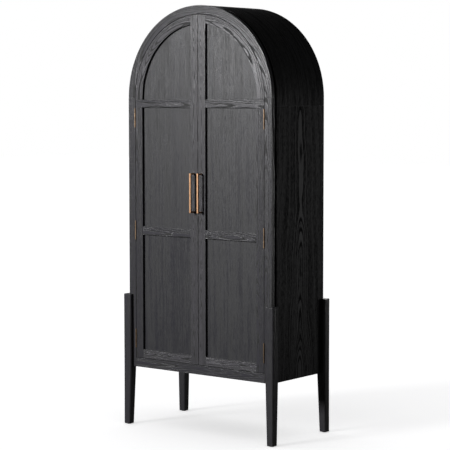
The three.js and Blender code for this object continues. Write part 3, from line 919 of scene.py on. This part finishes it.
@dataclass(frozen=True)
class HingeFit:
    """The sizes that hinges, stiles and leaves share."""

    leaf_thick: float = 2.0 * MM
    leaf_depth: float = 19.0 * MM
    leaf_proud: float = 0.9 * MM  # out of its mortise, into the door gap
    barrel_r: float = 4.5 * MM
    pin_r: float = 2.2 * MM
    clear: float = 0.4 * MM  # round the barrel and between knuckles
    seat: float = 0.3 * MM  # round a leaf in its mortise
    knuckles: int = 5
    names: tuple[str, ...] = ("lower", "middle", "upper")

    def axis(self, name: str) -> Vector:
        """The middle of a right-hand hinge's pin.

        Args:
            name: which of the three hinges.

        Returns:
            The point in the frame.
        """
        low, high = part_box(f"frame_hinge_leaf_{name}_right")
        joint = next(j for j in frame["joints"] if j["child"] == "right_door")
        return Vector((joint["pos_m"][0], joint["pos_m"][1], (low.z + high.z) / 2))

    def height(self) -> float:
        """A hinge's height."""
        low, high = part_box("frame_hinge_leaf_upper_right")
        return high.z - low.z

    def let_into(self, stile: bpy.types.Object, edge_x: float, into: int) -> None:
        """Cuts a right-hand stile for its three leaves and the round backs of the barrels.

        Args:
            stile: the stile.
            edge_x: the stile's edge at the door gap.
            into: 1 if the wood lies to the right of the edge, -1 if to the left.
        """
        half = self.height() / 2 + self.seat
        for name in self.names:
            pin = self.axis(name)
            bed_x = edge_x + into * (self.leaf_thick - self.leaf_proud + self.seat)
            open_x = edge_x - into * OVERCUT
            low = Vector((min(bed_x, open_x), MEASURES.front_y - OVERCUT, pin.z - half))
            high = Vector(
                (max(bed_x, open_x), MEASURES.front_y + self.leaf_depth + self.seat, pin.z + half)
            )
            cut_with(stile, add_block("mortise", low, high))
            foot = Vector((pin.x, pin.y, pin.z - half))
            head = Vector((pin.x, pin.y, pin.z + half))
            cut_with(stile, add_rod("barrel_seat", self.barrel_r + self.clear, foot, head, 40))


HINGE_FIT = HingeFit()


# ------------------------------------------------------------------ face frame


@dataclass
class FaceFrame:
    """The arched frame round the doors, and the recessed frame behind it."""

    dresser: Dresser
    ease: float = 1.2 * MM
    stop_ease: float = 0.8 * MM
    stop_outer_r: float = 473 * MM
    stop_inner_r: float = 428 * MM
    stop_sill_z: float = 386.5 * MM

    def build(self) -> None:
        """Makes the frame's pieces."""
        self._arch()
        self._stiles()
        self._bottom_rail()
        self._stop_frame()

    def _arch(self) -> None:
        """The bent head of the frame."""
        low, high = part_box("face_arch")
        arch = add_arch_ring("oak_face_arch", MEASURES.outer_r, MEASURES.opening_r, low.y, high.y, 0)
        true_up(arch)
        ease_edges(arch, self.ease)
        self.dresser.wood(arch, "face_arch", Board(Grain.ROUND_ARCH, aside=0.02, pith=0.03))

    def _stiles(self) -> None:
        """The two straight sides, let in for the hinges."""
        stile = add_block("oak_face_stile_right", *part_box("face_stile_right"))
        HINGE_FIT.let_into(stile, MEASURES.opening_r, 1)
        ease_edges(stile, self.ease)
        other = mirror_copy(stile, "oak_face_stile_left")
        self.dresser.wood(stile, "face_stile_right", Board(Grain.UPRIGHT, aside=0.012, pith=0.04))
        self.dresser.wood(other, "face_stile_left", Board(Grain.UPRIGHT, aside=0.03, pith=0.03))

    def _bottom_rail(self) -> None:
        """The rail under the doors."""
        rail = add_block("oak_face_bottom_rail", *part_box("face_bottom_rail"))
        ease_edges(rail, self.ease)
        self.dresser.wood(rail, "face_bottom_rail", Board(Grain.ACROSS, pith=0.025, taper=0.022))

    def _stop_frame(self) -> None:
        """The recessed frame that floors the shadow groove and stops the doors."""
        low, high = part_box("stop_frame")
        stop = add_arch_board("oak_stop_frame", self.stop_outer_r, low.z, low.y, high.y)
        hollow = add_arch_board(
            "hollow", self.stop_inner_r, self.stop_sill_z, low.y - OVERCUT, high.y + OVERCUT
        )
        cut_with(stop, hollow)
        true_up(stop)
        ease_edges(stop, self.stop_ease)
        self.dresser.wood(stop, "stop_frame", Board(Grain.ROUND_ARCH, pith=0.05))


# ------------------------------------------------------------------ carcass


@dataclass
class Carcass:
    """The bent top, the sides, the back and the shelves."""

    dresser: Dresser
    ease: float = 0.8 * MM
    shelf_ease: float = 1.5 * MM
    housing_depth: float = 6 * MM
    housing_clear: float = 0.3 * MM
    shelves: tuple[str, ...] = ("bottom_board", "lower_shelf", "middle_shelf", "upper_shelf", "top_shelf")

    def build(self) -> None:
        """Makes the carcass's pieces."""
        self._arch_shell()
        self._sides()
        self._back()
        self._shelves()

    def _house(self, piece: bpy.types.Object, shelves: Sequence[str]) -> None:
        """Cuts the housings that a piece gives to the shelves.

        Args:
            piece: a side or the bent top.
            shelves: the shelves' nodes.
        """
        reach = MEASURES.shell_inner_r + self.housing_depth + self.housing_clear
        shell_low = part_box("arch_shell")[0]
        panel_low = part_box("back_panel")[0]
        for node in shelves:
            low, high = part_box(node)
            first = Vector((-reach, shell_low.y - OVERCUT, low.z - self.housing_clear))
            last = Vector((reach, panel_low.y, high.z + self.housing_clear))
            cut_with(piece, add_block("housing", first, last))

    def _arch_shell(self) -> None:
        """The bent top, one continuous sheet with short straight ends."""
        low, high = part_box("arch_shell")
        skirt = MEASURES.spring_z - low.z
        inner = MEASURES.shell_inner_r + self.housing_clear
        shell = add_arch_ring("oak_arch_shell", MEASURES.outer_r, inner, low.y, high.y, skirt)
        true_up(shell)
        self._house(shell, self.shelves[-1:])
        ease_edges(shell, self.ease)
        board = Board(Grain.ROUND_SHELL, aside=0.3, pith=0.12, taper=0.01)
        self.dresser.wood(shell, "arch_shell", board, self.dresser.finishes.shell)

    def _sides(self) -> None:
        """The two flat sides below the bent top."""
        side = add_block("oak_side_panel_right", *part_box("side_panel_right"))
        self._house(side, self.shelves[:-1])
        self._close_seam(side)
        ease_edges(side, self.ease)
        other = mirror_copy(side, "oak_side_panel_left")
        finish = self.dresser.finishes.side
        self.dresser.wood(side, "side_panel_right", Board(Grain.UPRIGHT_SIDE, pith=0.03, taper=0.05), finish)
        self.dresser.wood(other, "side_panel_left", Board(Grain.UPRIGHT_SIDE, pith=0.04, taper=0.04), finish)

    def _close_seam(self, side: bpy.types.Object) -> None:
        """Lengthens a side until it meets the bent top's lower edge."""
        top_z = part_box("side_panel_right")[1].z
        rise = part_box("arch_shell")[0].z - top_z
        take(side)
        bpy.ops.object.mode_set(mode="EDIT")
        select_faces(side, lambda face: face.normal.z > FACING and face.calc_center_median().z > top_z - MM)
        bpy.ops.transform.translate(value=(0, 0, rise))
        bpy.ops.object.mode_set(mode="OBJECT")

    def _back(self) -> None:
        """The thin arched back."""
        low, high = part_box("back_panel")
        back = add_arch_board("oak_back_panel", high.x, low.z, low.y, high.y)
        true_up(back)
        ease_edges(back, self.ease)
        board = Board(Grain.UPRIGHT, aside=0.1, pith=0.06)
        self.dresser.wood(back, "back_panel", board, self.dresser.finishes.inside, "oak_inside")

    def _shelves(self) -> None:
        """The fixed shelves, their ends in the housings."""
        for node in self.shelves:
            shelf = add_block(f"oak_{node}", *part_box(node))
            ease_edges(shelf, self.shelf_ease)
            board = Board(Grain.LEVEL, aside=0.05, pith=0.05)
            self.dresser.wood(shelf, node, board, self.dresser.finishes.inside, "oak_inside")


# ------------------------------------------------------------------ legs


@dataclass
class Legs:
    """Four corner posts, straight outside and tapered inside below the carcass."""

    dresser: Dresser
    foot: float = 42 * MM
    corner: float = 12 * MM
    corner_steps: int = 6
    ease: float = 2.0 * MM
    notch_clear: float = 0.3 * MM
    pin_hole_r: float = 2.8 * MM
    pin_hole_top: float = 12.3 * MM
    glide_height: float = 3.3 * MM

    def build(self) -> None:
        """Makes the four legs."""
        for end in ("front", "back"):
            leg = self._leg(end)
            other = mirror_copy(leg, f"oak_leg_{end}_left")
            self.dresser.wood(leg, f"leg_{end}_right", Board(Grain.UPRIGHT, aside=0.03, pith=0.045))
            self.dresser.wood(other, f"leg_{end}_left", Board(Grain.UPRIGHT, aside=0.02, pith=0.05))

    def _leg(self, end: str) -> bpy.types.Object:
        """Makes a right-hand leg.

        Args:
            end: "front" or "back".

        Returns:
            The leg.
        """
        low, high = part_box(f"leg_{end}_right")
        carcass_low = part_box("side_panel_right")[0].z
        leg = add_block(f"oak_leg_{end}_right", Vector((low.x, low.y, carcass_low)), high)
        bpy.ops.object.mode_set(mode="EDIT")
        select_edges(leg, lambda edge: abs((edge.verts[0].co - edge.verts[1].co).normalized().z) > FACING)
        bpy.ops.mesh.bevel(offset=self.corner, segments=self.corner_steps, affect="EDGES")
        select_faces(leg, lambda face: face.normal.z < -FACING)
        drop = carcass_low - self.glide_height
        bpy.ops.mesh.extrude_region_move(TRANSFORM_OT_translate={"value": (0, 0, -drop)})
        outer_y = low.y if end == "front" else high.y
        shrink = self.foot / (high.x - low.x)
        bpy.ops.transform.resize(
            value=(shrink, shrink, 1), center_override=(high.x, outer_y, self.glide_height)
        )
        bpy.ops.object.mode_set(mode="OBJECT")
        ease_edges(leg, self.ease, 3)
        self._notch(leg, carcass_low, high.z)
        self._pin_hole(leg, end)
        smooth_by_angle(leg)
        return leg

    def _notch(self, leg: bpy.types.Object, foot_z: float, top_z: float) -> None:
        """Cuts the leg away where the carcass's corner stands in it."""
        face_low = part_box("face_arch")[0]
        shell_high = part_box("arch_shell")[1]
        gap = self.notch_clear
        low = Vector((0, face_low.y - gap, foot_z - gap))
        high = Vector((MEASURES.outer_r + gap, shell_high.y + gap, top_z + OVERCUT))
        cut_with(leg, add_block("carcass_corner", low, high))

    def _pin_hole(self, leg: bpy.types.Object, end: str) -> None:
        """Bores the foot for its glide's pin."""
        low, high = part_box(f"foot_glide_{end}_right")
        middle = (low + high) / 2
        foot = Vector((middle.x, middle.y, 0))
        head = Vector((middle.x, middle.y, self.pin_hole_top))
        cut_with(leg, add_rod("pin_hole", self.pin_hole_r, foot, head, 24))


# ------------------------------------------------------------------ doors


@dataclass(frozen=True)
class DoorField:
    """An opening in a door's frame that holds a panel."""

    panel: str
    below: str  # the member under it
    above: str | None  # the member over it, or None under the arch

    def foot(self) -> float:
        """Height of the opening's lower edge."""
        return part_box(f"{self.below}_right")[1].z

    def head(self) -> float:
        """Height of the opening's upper edge, or past the arch's crown."""
        if self.above is None:
            return MEASURES.spring_z + MEASURES.outer_r
        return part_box(f"{self.above}_right")[0].z


@dataclass
class Doors:
    """Two framed doors, each with three panels let into grooves."""

    dresser: Dresser
    ease: float = 1.2 * MM
    panel_ease: float = 0.5 * MM
    tongue: float = 8 * MM
    tongue_clear: float = 0.3 * MM
    fields: tuple[DoorField, ...] = (
        DoorField("lower_panel", "bottom_rail", "mid_rail"),
        DoorField("middle_panel", "mid_rail", "transom"),
        DoorField("top_panel", "transom", None),
    )
    figured: tuple[str, ...] = ("bottom_rail", "meeting_stile", "arch_rail")
    boards: dict[str, Board] = field(
        default_factory=lambda: {
            "hinge_stile": Board(Grain.UPRIGHT, aside=0.022, pith=0.03, taper=0.02),
            "meeting_stile": Board(Grain.UPRIGHT, aside=0.004, pith=0.009, taper=0.06),
            "arch_rail": Board(Grain.ROUND_ARCH, aside=0.01, pith=0.03, taper=0.03),
            "transom": Board(Grain.ACROSS, aside=0.01, pith=0.03, taper=0.03),
            "mid_rail": Board(Grain.ACROSS, aside=0.015, pith=0.03, taper=0.03),
            "bottom_rail": Board(Grain.ACROSS, aside=0.002, pith=0.022, taper=0.04),
            "panel": Board(Grain.UPRIGHT, aside=0.3, pith=0.1, taper=0.01),
        }
    )

    def build(self) -> None:
        """Makes the right door's pieces and their mirror images on the left door."""
        for name in ("hinge_stile", "transom", "mid_rail", "bottom_rail"):
            self._finish(name, add_block(f"oak_{name}_right", *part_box(f"{name}_right")))
        self._finish("meeting_stile", self._meeting_stile())
        self._finish("arch_rail", self._arch_rail())
        for each in self.fields:
            self._panel(each)

    def _y_span(self) -> tuple[float, float]:
        """Front and back faces of the doors."""
        low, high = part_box("meeting_stile_right")
        return low.y, high.y

    def _meeting_stile(self) -> bpy.types.Object:
        """The upright beside the other door, its top on the arch."""
        low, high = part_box("meeting_stile_right")
        stile = add_arch_board("oak_meeting_stile_right", MEASURES.door_r, low.z, low.y, high.y)
        slice_off(stile, Vector((low.x, 0, 0)), Vector((-1, 0, 0)))
        slice_off(stile, Vector((high.x, 0, 0)), Vector((1, 0, 0)))
        return stile

    def _arch_rail(self) -> bpy.types.Object:
        """The quarter-round head of the door's frame, standing on the transom."""
        low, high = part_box("arch_rail_right")
        skirt = MEASURES.spring_z - low.z
        rail = add_arch_ring(
            "oak_arch_rail_right", MEASURES.door_r, MEASURES.door_inner_r, low.y, high.y, skirt
        )
        slice_off(rail, Vector((low.x, 0, 0)), Vector((-1, 0, 0)))
        return rail

    def _field_shape(self, name: str, each: DoorField, grow: float, y0: float, y1: float) -> bpy.types.Object:
        """The shape of an opening grown on every edge.

        Args:
            name: the shape's name.
            each: the opening.
            grow: how far it is grown.
            y0: front face.
            y1: back face.

        Returns:
            The new object.
        """
        x0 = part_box("meeting_stile_right")[1].x - grow
        radius = MEASURES.door_inner_r + grow
        if each.above is None:
            shape = add_arch_board(name, radius, each.foot() - grow, y0, y1)
            slice_off(shape, Vector((x0, 0, 0)), Vector((-1, 0, 0)))
            return shape
        low = Vector((x0, y0, each.foot() - grow))
        high = Vector((radius, y1, each.head() + grow))
        return add_block(name, low, high)

    def _finish(self, name: str, member: bpy.types.Object) -> None:
        """Grooves a member of the frame, lets the hinges in, eases it and makes its other hand.

        Args:
            name: the member's name without its side.
            member: the right-hand blank.
        """
        true_up(member)
        panel_low, panel_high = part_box("middle_panel_right")
        y0 = panel_low.y - self.tongue_clear
        y1 = panel_high.y + self.tongue_clear
        reach = self.tongue + self.tongue_clear
        for each in self.fields:
            if name in ("hinge_stile", "meeting_stile", each.below, each.above or "arch_rail"):
                cut_with(member, self._field_shape("groove", each, reach, y0, y1))
        if name == "hinge_stile":
            HINGE_FIT.let_into(member, MEASURES.door_r, -1)
        ease_edges(member, self.ease)
        other = mirror_copy(member, f"oak_{name}_left")
        finish = self.dresser.finishes.figured if name in self.figured else self.dresser.finishes.oak
        self.dresser.wood(member, f"{name}_right", self.boards[name], finish)
        self.dresser.wood(other, f"{name}_left", self.boards[name], finish)

    def _panel(self, each: DoorField) -> None:
        """Makes a flat panel with its tongues, and its other hand."""
        low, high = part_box(f"{each.panel}_right")
        panel = self._field_shape(f"oak_{each.panel}_right", each, self.tongue, low.y, high.y)
        true_up(panel)
        ease_edges(panel, self.panel_ease)
        other = mirror_copy(panel, f"oak_{each.panel}_left")
        for piece, side in ((panel, Side.RIGHT), (other, Side.LEFT)):
            node = f"{each.panel}_{side.word}"
            self.dresser.wood(piece, node, self.boards["panel"], self.dresser.finishes.panel, "oak_panel")


# ------------------------------------------------------------------ hinges


@dataclass
class Hinges:
    """Six butt hinges of five knuckles, with slotted screws in their leaves."""

    dresser: Dresser
    fit: HingeFit = HINGE_FIT
    steps: int = 40
    ease: float = 0.35 * MM
    screw_r: float = 3.2 * MM
    sink_r: float = 3.6 * MM
    sink_depth: float = 0.5 * MM
    slot_width: float = 0.8 * MM
    screw_rises: tuple[float, ...] = (-40 * MM, -15 * MM, 15 * MM, 40 * MM)
    screw_backs: tuple[float, ...] = (13 * MM, 8 * MM, 8 * MM, 13 * MM)
    tip_r: float = 2.9 * MM
    tip_rise: float = 0.8 * MM
    tip_ease: float = 0.7  # the tip's rounding, as a share of its rise
    tip_bed: float = 0.6 * MM  # how far a tip reaches into the pin
    bore_clear: float = 0.3 * MM
    head_low: float = 0.1 * MM  # a screw's head below the leaf's face
    head_bed: float = 0.3 * MM  # how far it reaches into the leaf
    slot_depth: float = 0.3 * MM
    head_steps: int = 28

    def build(self) -> None:
        """Makes one leaf of each kind and copies it to its places."""
        for kind, first in (("frame", 0), ("door", 1)):
            leaf = self._leaf(kind, first)
            for name in self.fit.names:
                right = copy_of(leaf, f"brass_{kind}_leaf_{name}_right")
                shift(right, Vector((0, 0, self.fit.axis(name).z - self.fit.axis("middle").z)))
                left = mirror_copy(right, f"brass_{kind}_leaf_{name}_left")
                for piece, side in ((right, Side.RIGHT), (left, Side.LEFT)):
                    node = f"{kind}_hinge_leaf_{name}_{side.word}"
                    self.dresser.metal(piece, node, self.dresser.finishes.hinge, "hinge_brass")
            bpy.data.objects.remove(leaf)

    def _rod(self, name: str, radius: float, z0: float, z1: float) -> bpy.types.Object:
        """A rod on the middle hinge's pin."""
        pin = self.fit.axis("middle")
        return add_rod(name, radius, Vector((pin.x, pin.y, z0)), Vector((pin.x, pin.y, z1)), self.steps)

    def _leaf(self, kind: str, first: int) -> bpy.types.Object:
        """Makes the middle hinge's right-hand leaf.

        Args:
            kind: "frame" or "door".
            first: its lowest knuckle, counted from 0.

        Returns:
            The leaf with its knuckles, pin and screws.
        """
        pin = self.fit.axis("middle")
        half = self.fit.height() / 2
        pitch = self.fit.height() / self.fit.knuckles
        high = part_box(f"{kind}_hinge_leaf_middle_right")[1]
        if kind == "frame":
            x0 = MEASURES.opening_r - self.fit.leaf_proud
        else:
            x0 = MEASURES.door_r + self.fit.leaf_proud - self.fit.leaf_thick
        leaf = add_block(
            f"{kind}_leaf",
            Vector((x0, pin.y, pin.z - half)),
            Vector((x0 + self.fit.leaf_thick, high.y, pin.z + half)),
        )
        gap = self.fit.clear / 2
        last = self.fit.knuckles - 1
        for index in range(self.fit.knuckles):
            z0 = pin.z - half + index * pitch
            z1 = z0 + pitch
            if index % 2 == first:
                trim_low = 0 if index == 0 else gap
                trim_high = 0 if index == last else gap
                add_to(leaf, self._rod("knuckle", self.fit.barrel_r, z0 + trim_low, z1 - trim_high))
            else:
                grown = self.fit.barrel_r + self.fit.clear
                # At the last knuckle the overcut reaches down, and shortens the knuckle below it.
                extra = OVERCUT if index in (0, last) else 0
                cut_with(leaf, self._rod("room", grown, z0 - gap - extra, z1 + gap))
        if kind == "frame":
            add_to(leaf, self._rod("pin", self.fit.pin_r, pin.z - half, pin.z + half))
        else:
            bore = self.fit.pin_r + self.bore_clear
            cut_with(leaf, self._rod("bore", bore, pin.z - half - OVERCUT, pin.z + half + OVERCUT))
        self._screws(leaf, kind, x0)
        true_up(leaf)
        ease_edges(leaf, self.ease, 2)
        if kind == "frame":
            self._tips(leaf, pin.z - half, pin.z + half)
        return leaf

    def _screws(self, leaf: bpy.types.Object, kind: str, x0: float) -> None:
        """Sinks four slotted screws in the leaf's open face.

        Args:
            leaf: the leaf.
            kind: "frame" or "door".
            x0: the leaf's lower X.
        """
        pin = self.fit.axis("middle")
        outward = -1 if kind == "frame" else 1
        face_x = x0 if kind == "frame" else x0 + self.fit.leaf_thick
        bed_x = face_x - outward * self.sink_depth
        head_x = face_x - outward * self.head_low
        for rise, back in zip(self.screw_rises, self.screw_backs):
            y = MEASURES.front_y + back
            z = pin.z + rise
            ends = [Vector((x, y, z)) for x in sorted((bed_x, face_x + outward * OVERCUT))]
            cut_with(leaf, add_rod("sink", self.sink_r, *ends, self.head_steps))
            ends = [Vector((x, y, z)) for x in sorted((bed_x - outward * self.head_bed, head_x))]
            head = add_rod("head", self.screw_r, *ends, self.head_steps)
            slot = sorted((head_x - outward * self.slot_depth, head_x + outward * OVERCUT))
            cut_with(
                head,
                add_block(
                    "screw_slot",
                    Vector((slot[0], y - self.sink_r, z - self.slot_width / 2)),
                    Vector((slot[1], y + self.sink_r, z + self.slot_width / 2)),
                ),
            )
            add_to(leaf, head)

    def _tips(self, leaf: bpy.types.Object, foot_z: float, head_z: float) -> None:
        """Domes the two ends of the pin."""
        for end, way in ((foot_z, -1), (head_z, 1)):
            reach = sorted((end - way * self.tip_bed, end + way * self.tip_rise))
            tip = self._rod("tip", self.tip_r, reach[0], reach[1])
            ease_edges(tip, self.tip_ease * self.tip_rise, 3)
            add_to(leaf, tip)
        smooth_by_angle(leaf)


# ------------------------------------------------------------------ handles and catch


@dataclass
class Handles:
    """Bar handles bent from one rounded bar, upright on the meeting stiles."""

    dresser: Dresser
    depth: float = 9 * MM
    corner: float = 11 * MM
    inner_corner: float = 2.5 * MM
    corner_steps: int = 10
    edge: float = 1.8 * MM
    edge_steps: int = 4

    def build(self) -> None:
        """Makes the right handle and its mirror image."""
        low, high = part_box("handle_right")
        bar = add_block("brass_handle_right", low, high)
        self._round_front(bar, low.y, self.corner)
        hollow = add_block(
            "hand_room",
            Vector((low.x - OVERCUT, low.y + self.depth, low.z + self.depth)),
            Vector((high.x + OVERCUT, high.y + self.corner, high.z - self.depth)),
        )
        self._round_front(hollow, low.y + self.depth, self.inner_corner)
        cut_with(bar, hollow)
        true_up(bar)
        ease_edges(bar, self.edge, self.edge_steps)
        other = mirror_copy(bar, "brass_handle_left")
        self.dresser.metal(bar, "handle_right", self.dresser.finishes.brass, "brass")
        self.dresser.metal(other, "handle_left", self.dresser.finishes.brass, "brass")

    def _round_front(self, piece: bpy.types.Object, front_y: float, radius: float) -> None:
        """Rounds a block's two level front edges.

        Args:
            piece: the block.
            front_y: its front face.
            radius: the rounding's radius.
        """
        take(piece)
        bpy.ops.object.mode_set(mode="EDIT")
        select_edges(
            piece,
            lambda edge: all(abs(v.co.y - front_y) < 1e-6 for v in edge.verts)
            and abs(edge.verts[0].co.x - edge.verts[1].co.x) > radius,
        )
        bpy.ops.mesh.bevel(offset=radius, segments=self.corner_steps, affect="EDGES")
        bpy.ops.object.mode_set(mode="OBJECT")


@dataclass
class Fittings:
    """The catch, its strikes and the glides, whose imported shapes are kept."""

    dresser: Dresser
    plastic: tuple[str, ...] = (
        "magnetic_catch",
        "foot_glide_front_left",
        "foot_glide_front_right",
        "foot_glide_back_left",
        "foot_glide_back_right",
    )
    steel: tuple[str, ...] = ("strike_left", "strike_right")

    def dress(self) -> None:
        """Gives each kept node its finish."""
        for nodes, material in (
            (self.plastic, self.dresser.finishes.plastic),
            (self.steel, self.dresser.finishes.steel),
        ):
            for node in nodes:
                materials = frame["nodes"][node].data.materials
                materials.clear()
                materials.append(material)
                LOG.info("dressed %s with %s", node, material.name)


# ------------------------------------------------------------------ studio


@dataclass(frozen=True)
class Lamp:
    """A soft rectangular lamp aimed at a point."""

    name: str
    place: tuple[float, float, float]
    aim: tuple[float, float, float]
    width: float
    height: float
    power: float

    def hang(self) -> bpy.types.Object:
        """Adds the lamp to the scene.

        Returns:
            The lamp.
        """
        start_fresh()
        bpy.ops.object.light_add(type="AREA", location=self.place)
        lamp = bpy.context.object
        lamp.name = self.name
        lamp.data.shape = "RECTANGLE"
        lamp.data.size = self.width
        lamp.data.size_y = self.height
        lamp.data.energy = self.power
        way = Vector(self.aim) - Vector(self.place)
        lamp.rotation_euler = way.to_track_quat("-Z", "Y").to_euler()
        return lamp


@dataclass(frozen=True)
class Sun:
    """A far lamp that shades the floor alone."""

    name: str
    way: tuple[float, float, float]
    strength: float
    spread: float  # in degrees

    def hang(self) -> bpy.types.Object:
        """Adds the lamp to the scene.

        Returns:
            The lamp.
        """
        start_fresh()
        bpy.ops.object.light_add(type="SUN", location=(0, 0, 8))
        sun = bpy.context.object
        sun.name = self.name
        sun.data.energy = self.strength
        sun.data.angle = math.radians(self.spread)
        sun.rotation_euler = Vector(self.way).to_track_quat("-Z", "Y").to_euler()
        return sun


@dataclass
class Studio:
    """A pale floor, soft lamps, a white surround and the camera."""

    camera_place: tuple[float, float, float] = (5.5315, -6.9914, 1.8072)
    azimuth: float = 38.335
    pitch: float = 4.456
    roll: float = -0.052
    lens: float = 132.02
    floor_size: float = 60.0
    dim: float = 0.05  # the surround's light on the cabinet
    suns: tuple[Sun, ...] = (
        Sun("sky", (0.15, 0.2, -1.0), 1.62, 115.0),
        Sun("low_sun", (0.30, 0.80, -0.36), 0.9, 14.0),
    )
    lamps: tuple[Lamp, ...] = (
        Lamp("key", (-2.0, -7.0, 3.2), (0, 0, 1.7), 1.6, 1.2, 900),
        Lamp("fill", (5.0, 5.4, 0.9), (0.5, 0, 0.7), 3.0, 1.6, 36),
        Lamp("rim", (-3.5, 6.0, 3.0), (0, 0, 2.2), 3.0, 0.8, 60),
        Lamp("back", (-1.4, 6.0, 1.0), (0, 0.3, 1.1), 2.0, 1.2, 120),
    )

    def build(self) -> None:
        """Sets up the floor, the lamps, the surround and the camera."""
        floor = self._floor()
        off_floor = self._light_group("off_floor", floor, "EXCLUDE")
        for lamp in self.lamps:
            lamp.hang().light_linking.receiver_collection = off_floor
        on_floor = self._light_group("on_floor", floor, "INCLUDE")
        for sun in self.suns:
            sun.hang().light_linking.receiver_collection = on_floor
        self._surround()
        self._camera()
        bpy.context.scene.view_settings.view_transform = "Standard"

    @staticmethod
    def _light_group(name: str, floor: bpy.types.Object, state: str) -> bpy.types.Collection:
        """Makes the list of what a lamp lights.

        Args:
            name: the list's name.
            floor: the floor.
            state: "INCLUDE" to light the floor alone, "EXCLUDE" to light all but the floor.

        Returns:
            The list.
        """
        group = bpy.data.collections.new(name)
        group.objects.link(floor)
        group.collection_objects[0].light_linking.link_state = state
        return group

    def _floor(self) -> bpy.types.Object:
        """A pale matt floor."""
        start_fresh()
        bpy.ops.mesh.primitive_plane_add(size=self.floor_size, location=(0, 0, 0))
        floor = settle("floor")
        floor.data.materials.append(FloorFinish("pale_floor").make())
        floor.visible_glossy = False
        floor.visible_diffuse = False
        return floor

    def _surround(self) -> None:
        """White behind the cabinet, and dimmer as a light."""
        world = bpy.data.worlds.new("surround")
        world.use_nodes = True
        bpy.context.scene.world = world
        tree = world.node_tree
        back = tree.nodes["Background"]
        path = tree.nodes.new("ShaderNodeLightPath")
        spread = tree.nodes.new("ShaderNodeMapRange")
        spread.inputs["To Min"].default_value = self.dim
        spread.inputs["To Max"].default_value = 1.0
        back.inputs["Color"].default_value = (1, 1, 1, 1)
        tree.links.new(path.outputs["Is Camera Ray"], spread.inputs["Value"])
        tree.links.new(spread.outputs["Result"], back.inputs["Strength"])

    def _camera(self) -> None:
        """A long lens, a little above the cabinet's middle."""
        start_fresh()
        bpy.ops.object.camera_add(location=self.camera_place)
        camera = bpy.context.object
        around, down = math.radians(self.azimuth), math.radians(self.pitch)
        way = Vector(
            (-math.sin(around) * math.cos(down), math.cos(around) * math.cos(down), -math.sin(down))
        )
        turn = way.to_track_quat("-Z", "Y")
        tilt = Quaternion((0, 0, 1), math.radians(self.roll))
        camera.rotation_euler = (turn @ tilt).to_euler()
        camera.data.lens = self.lens
        camera.data.sensor_width = 36.0
        camera.data.clip_end = 200.0
        bpy.context.scene.camera = camera


# ------------------------------------------------------------------ the whole cabinet


def main() -> None:
    """Makes every piece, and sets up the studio."""
    logging.basicConfig(level=logging.INFO, format="%(name)s: %(message)s")
    dresser = Dresser(Finishes())
    FaceFrame(dresser).build()
    Carcass(dresser).build()
    Legs(dresser).build()
    Doors(dresser).build()
    Hinges(dresser).build()
    Handles(dresser).build()
    Fittings(dresser).dress()
    Studio().build()
    start_fresh()


if __name__ == "__main__":
    main()
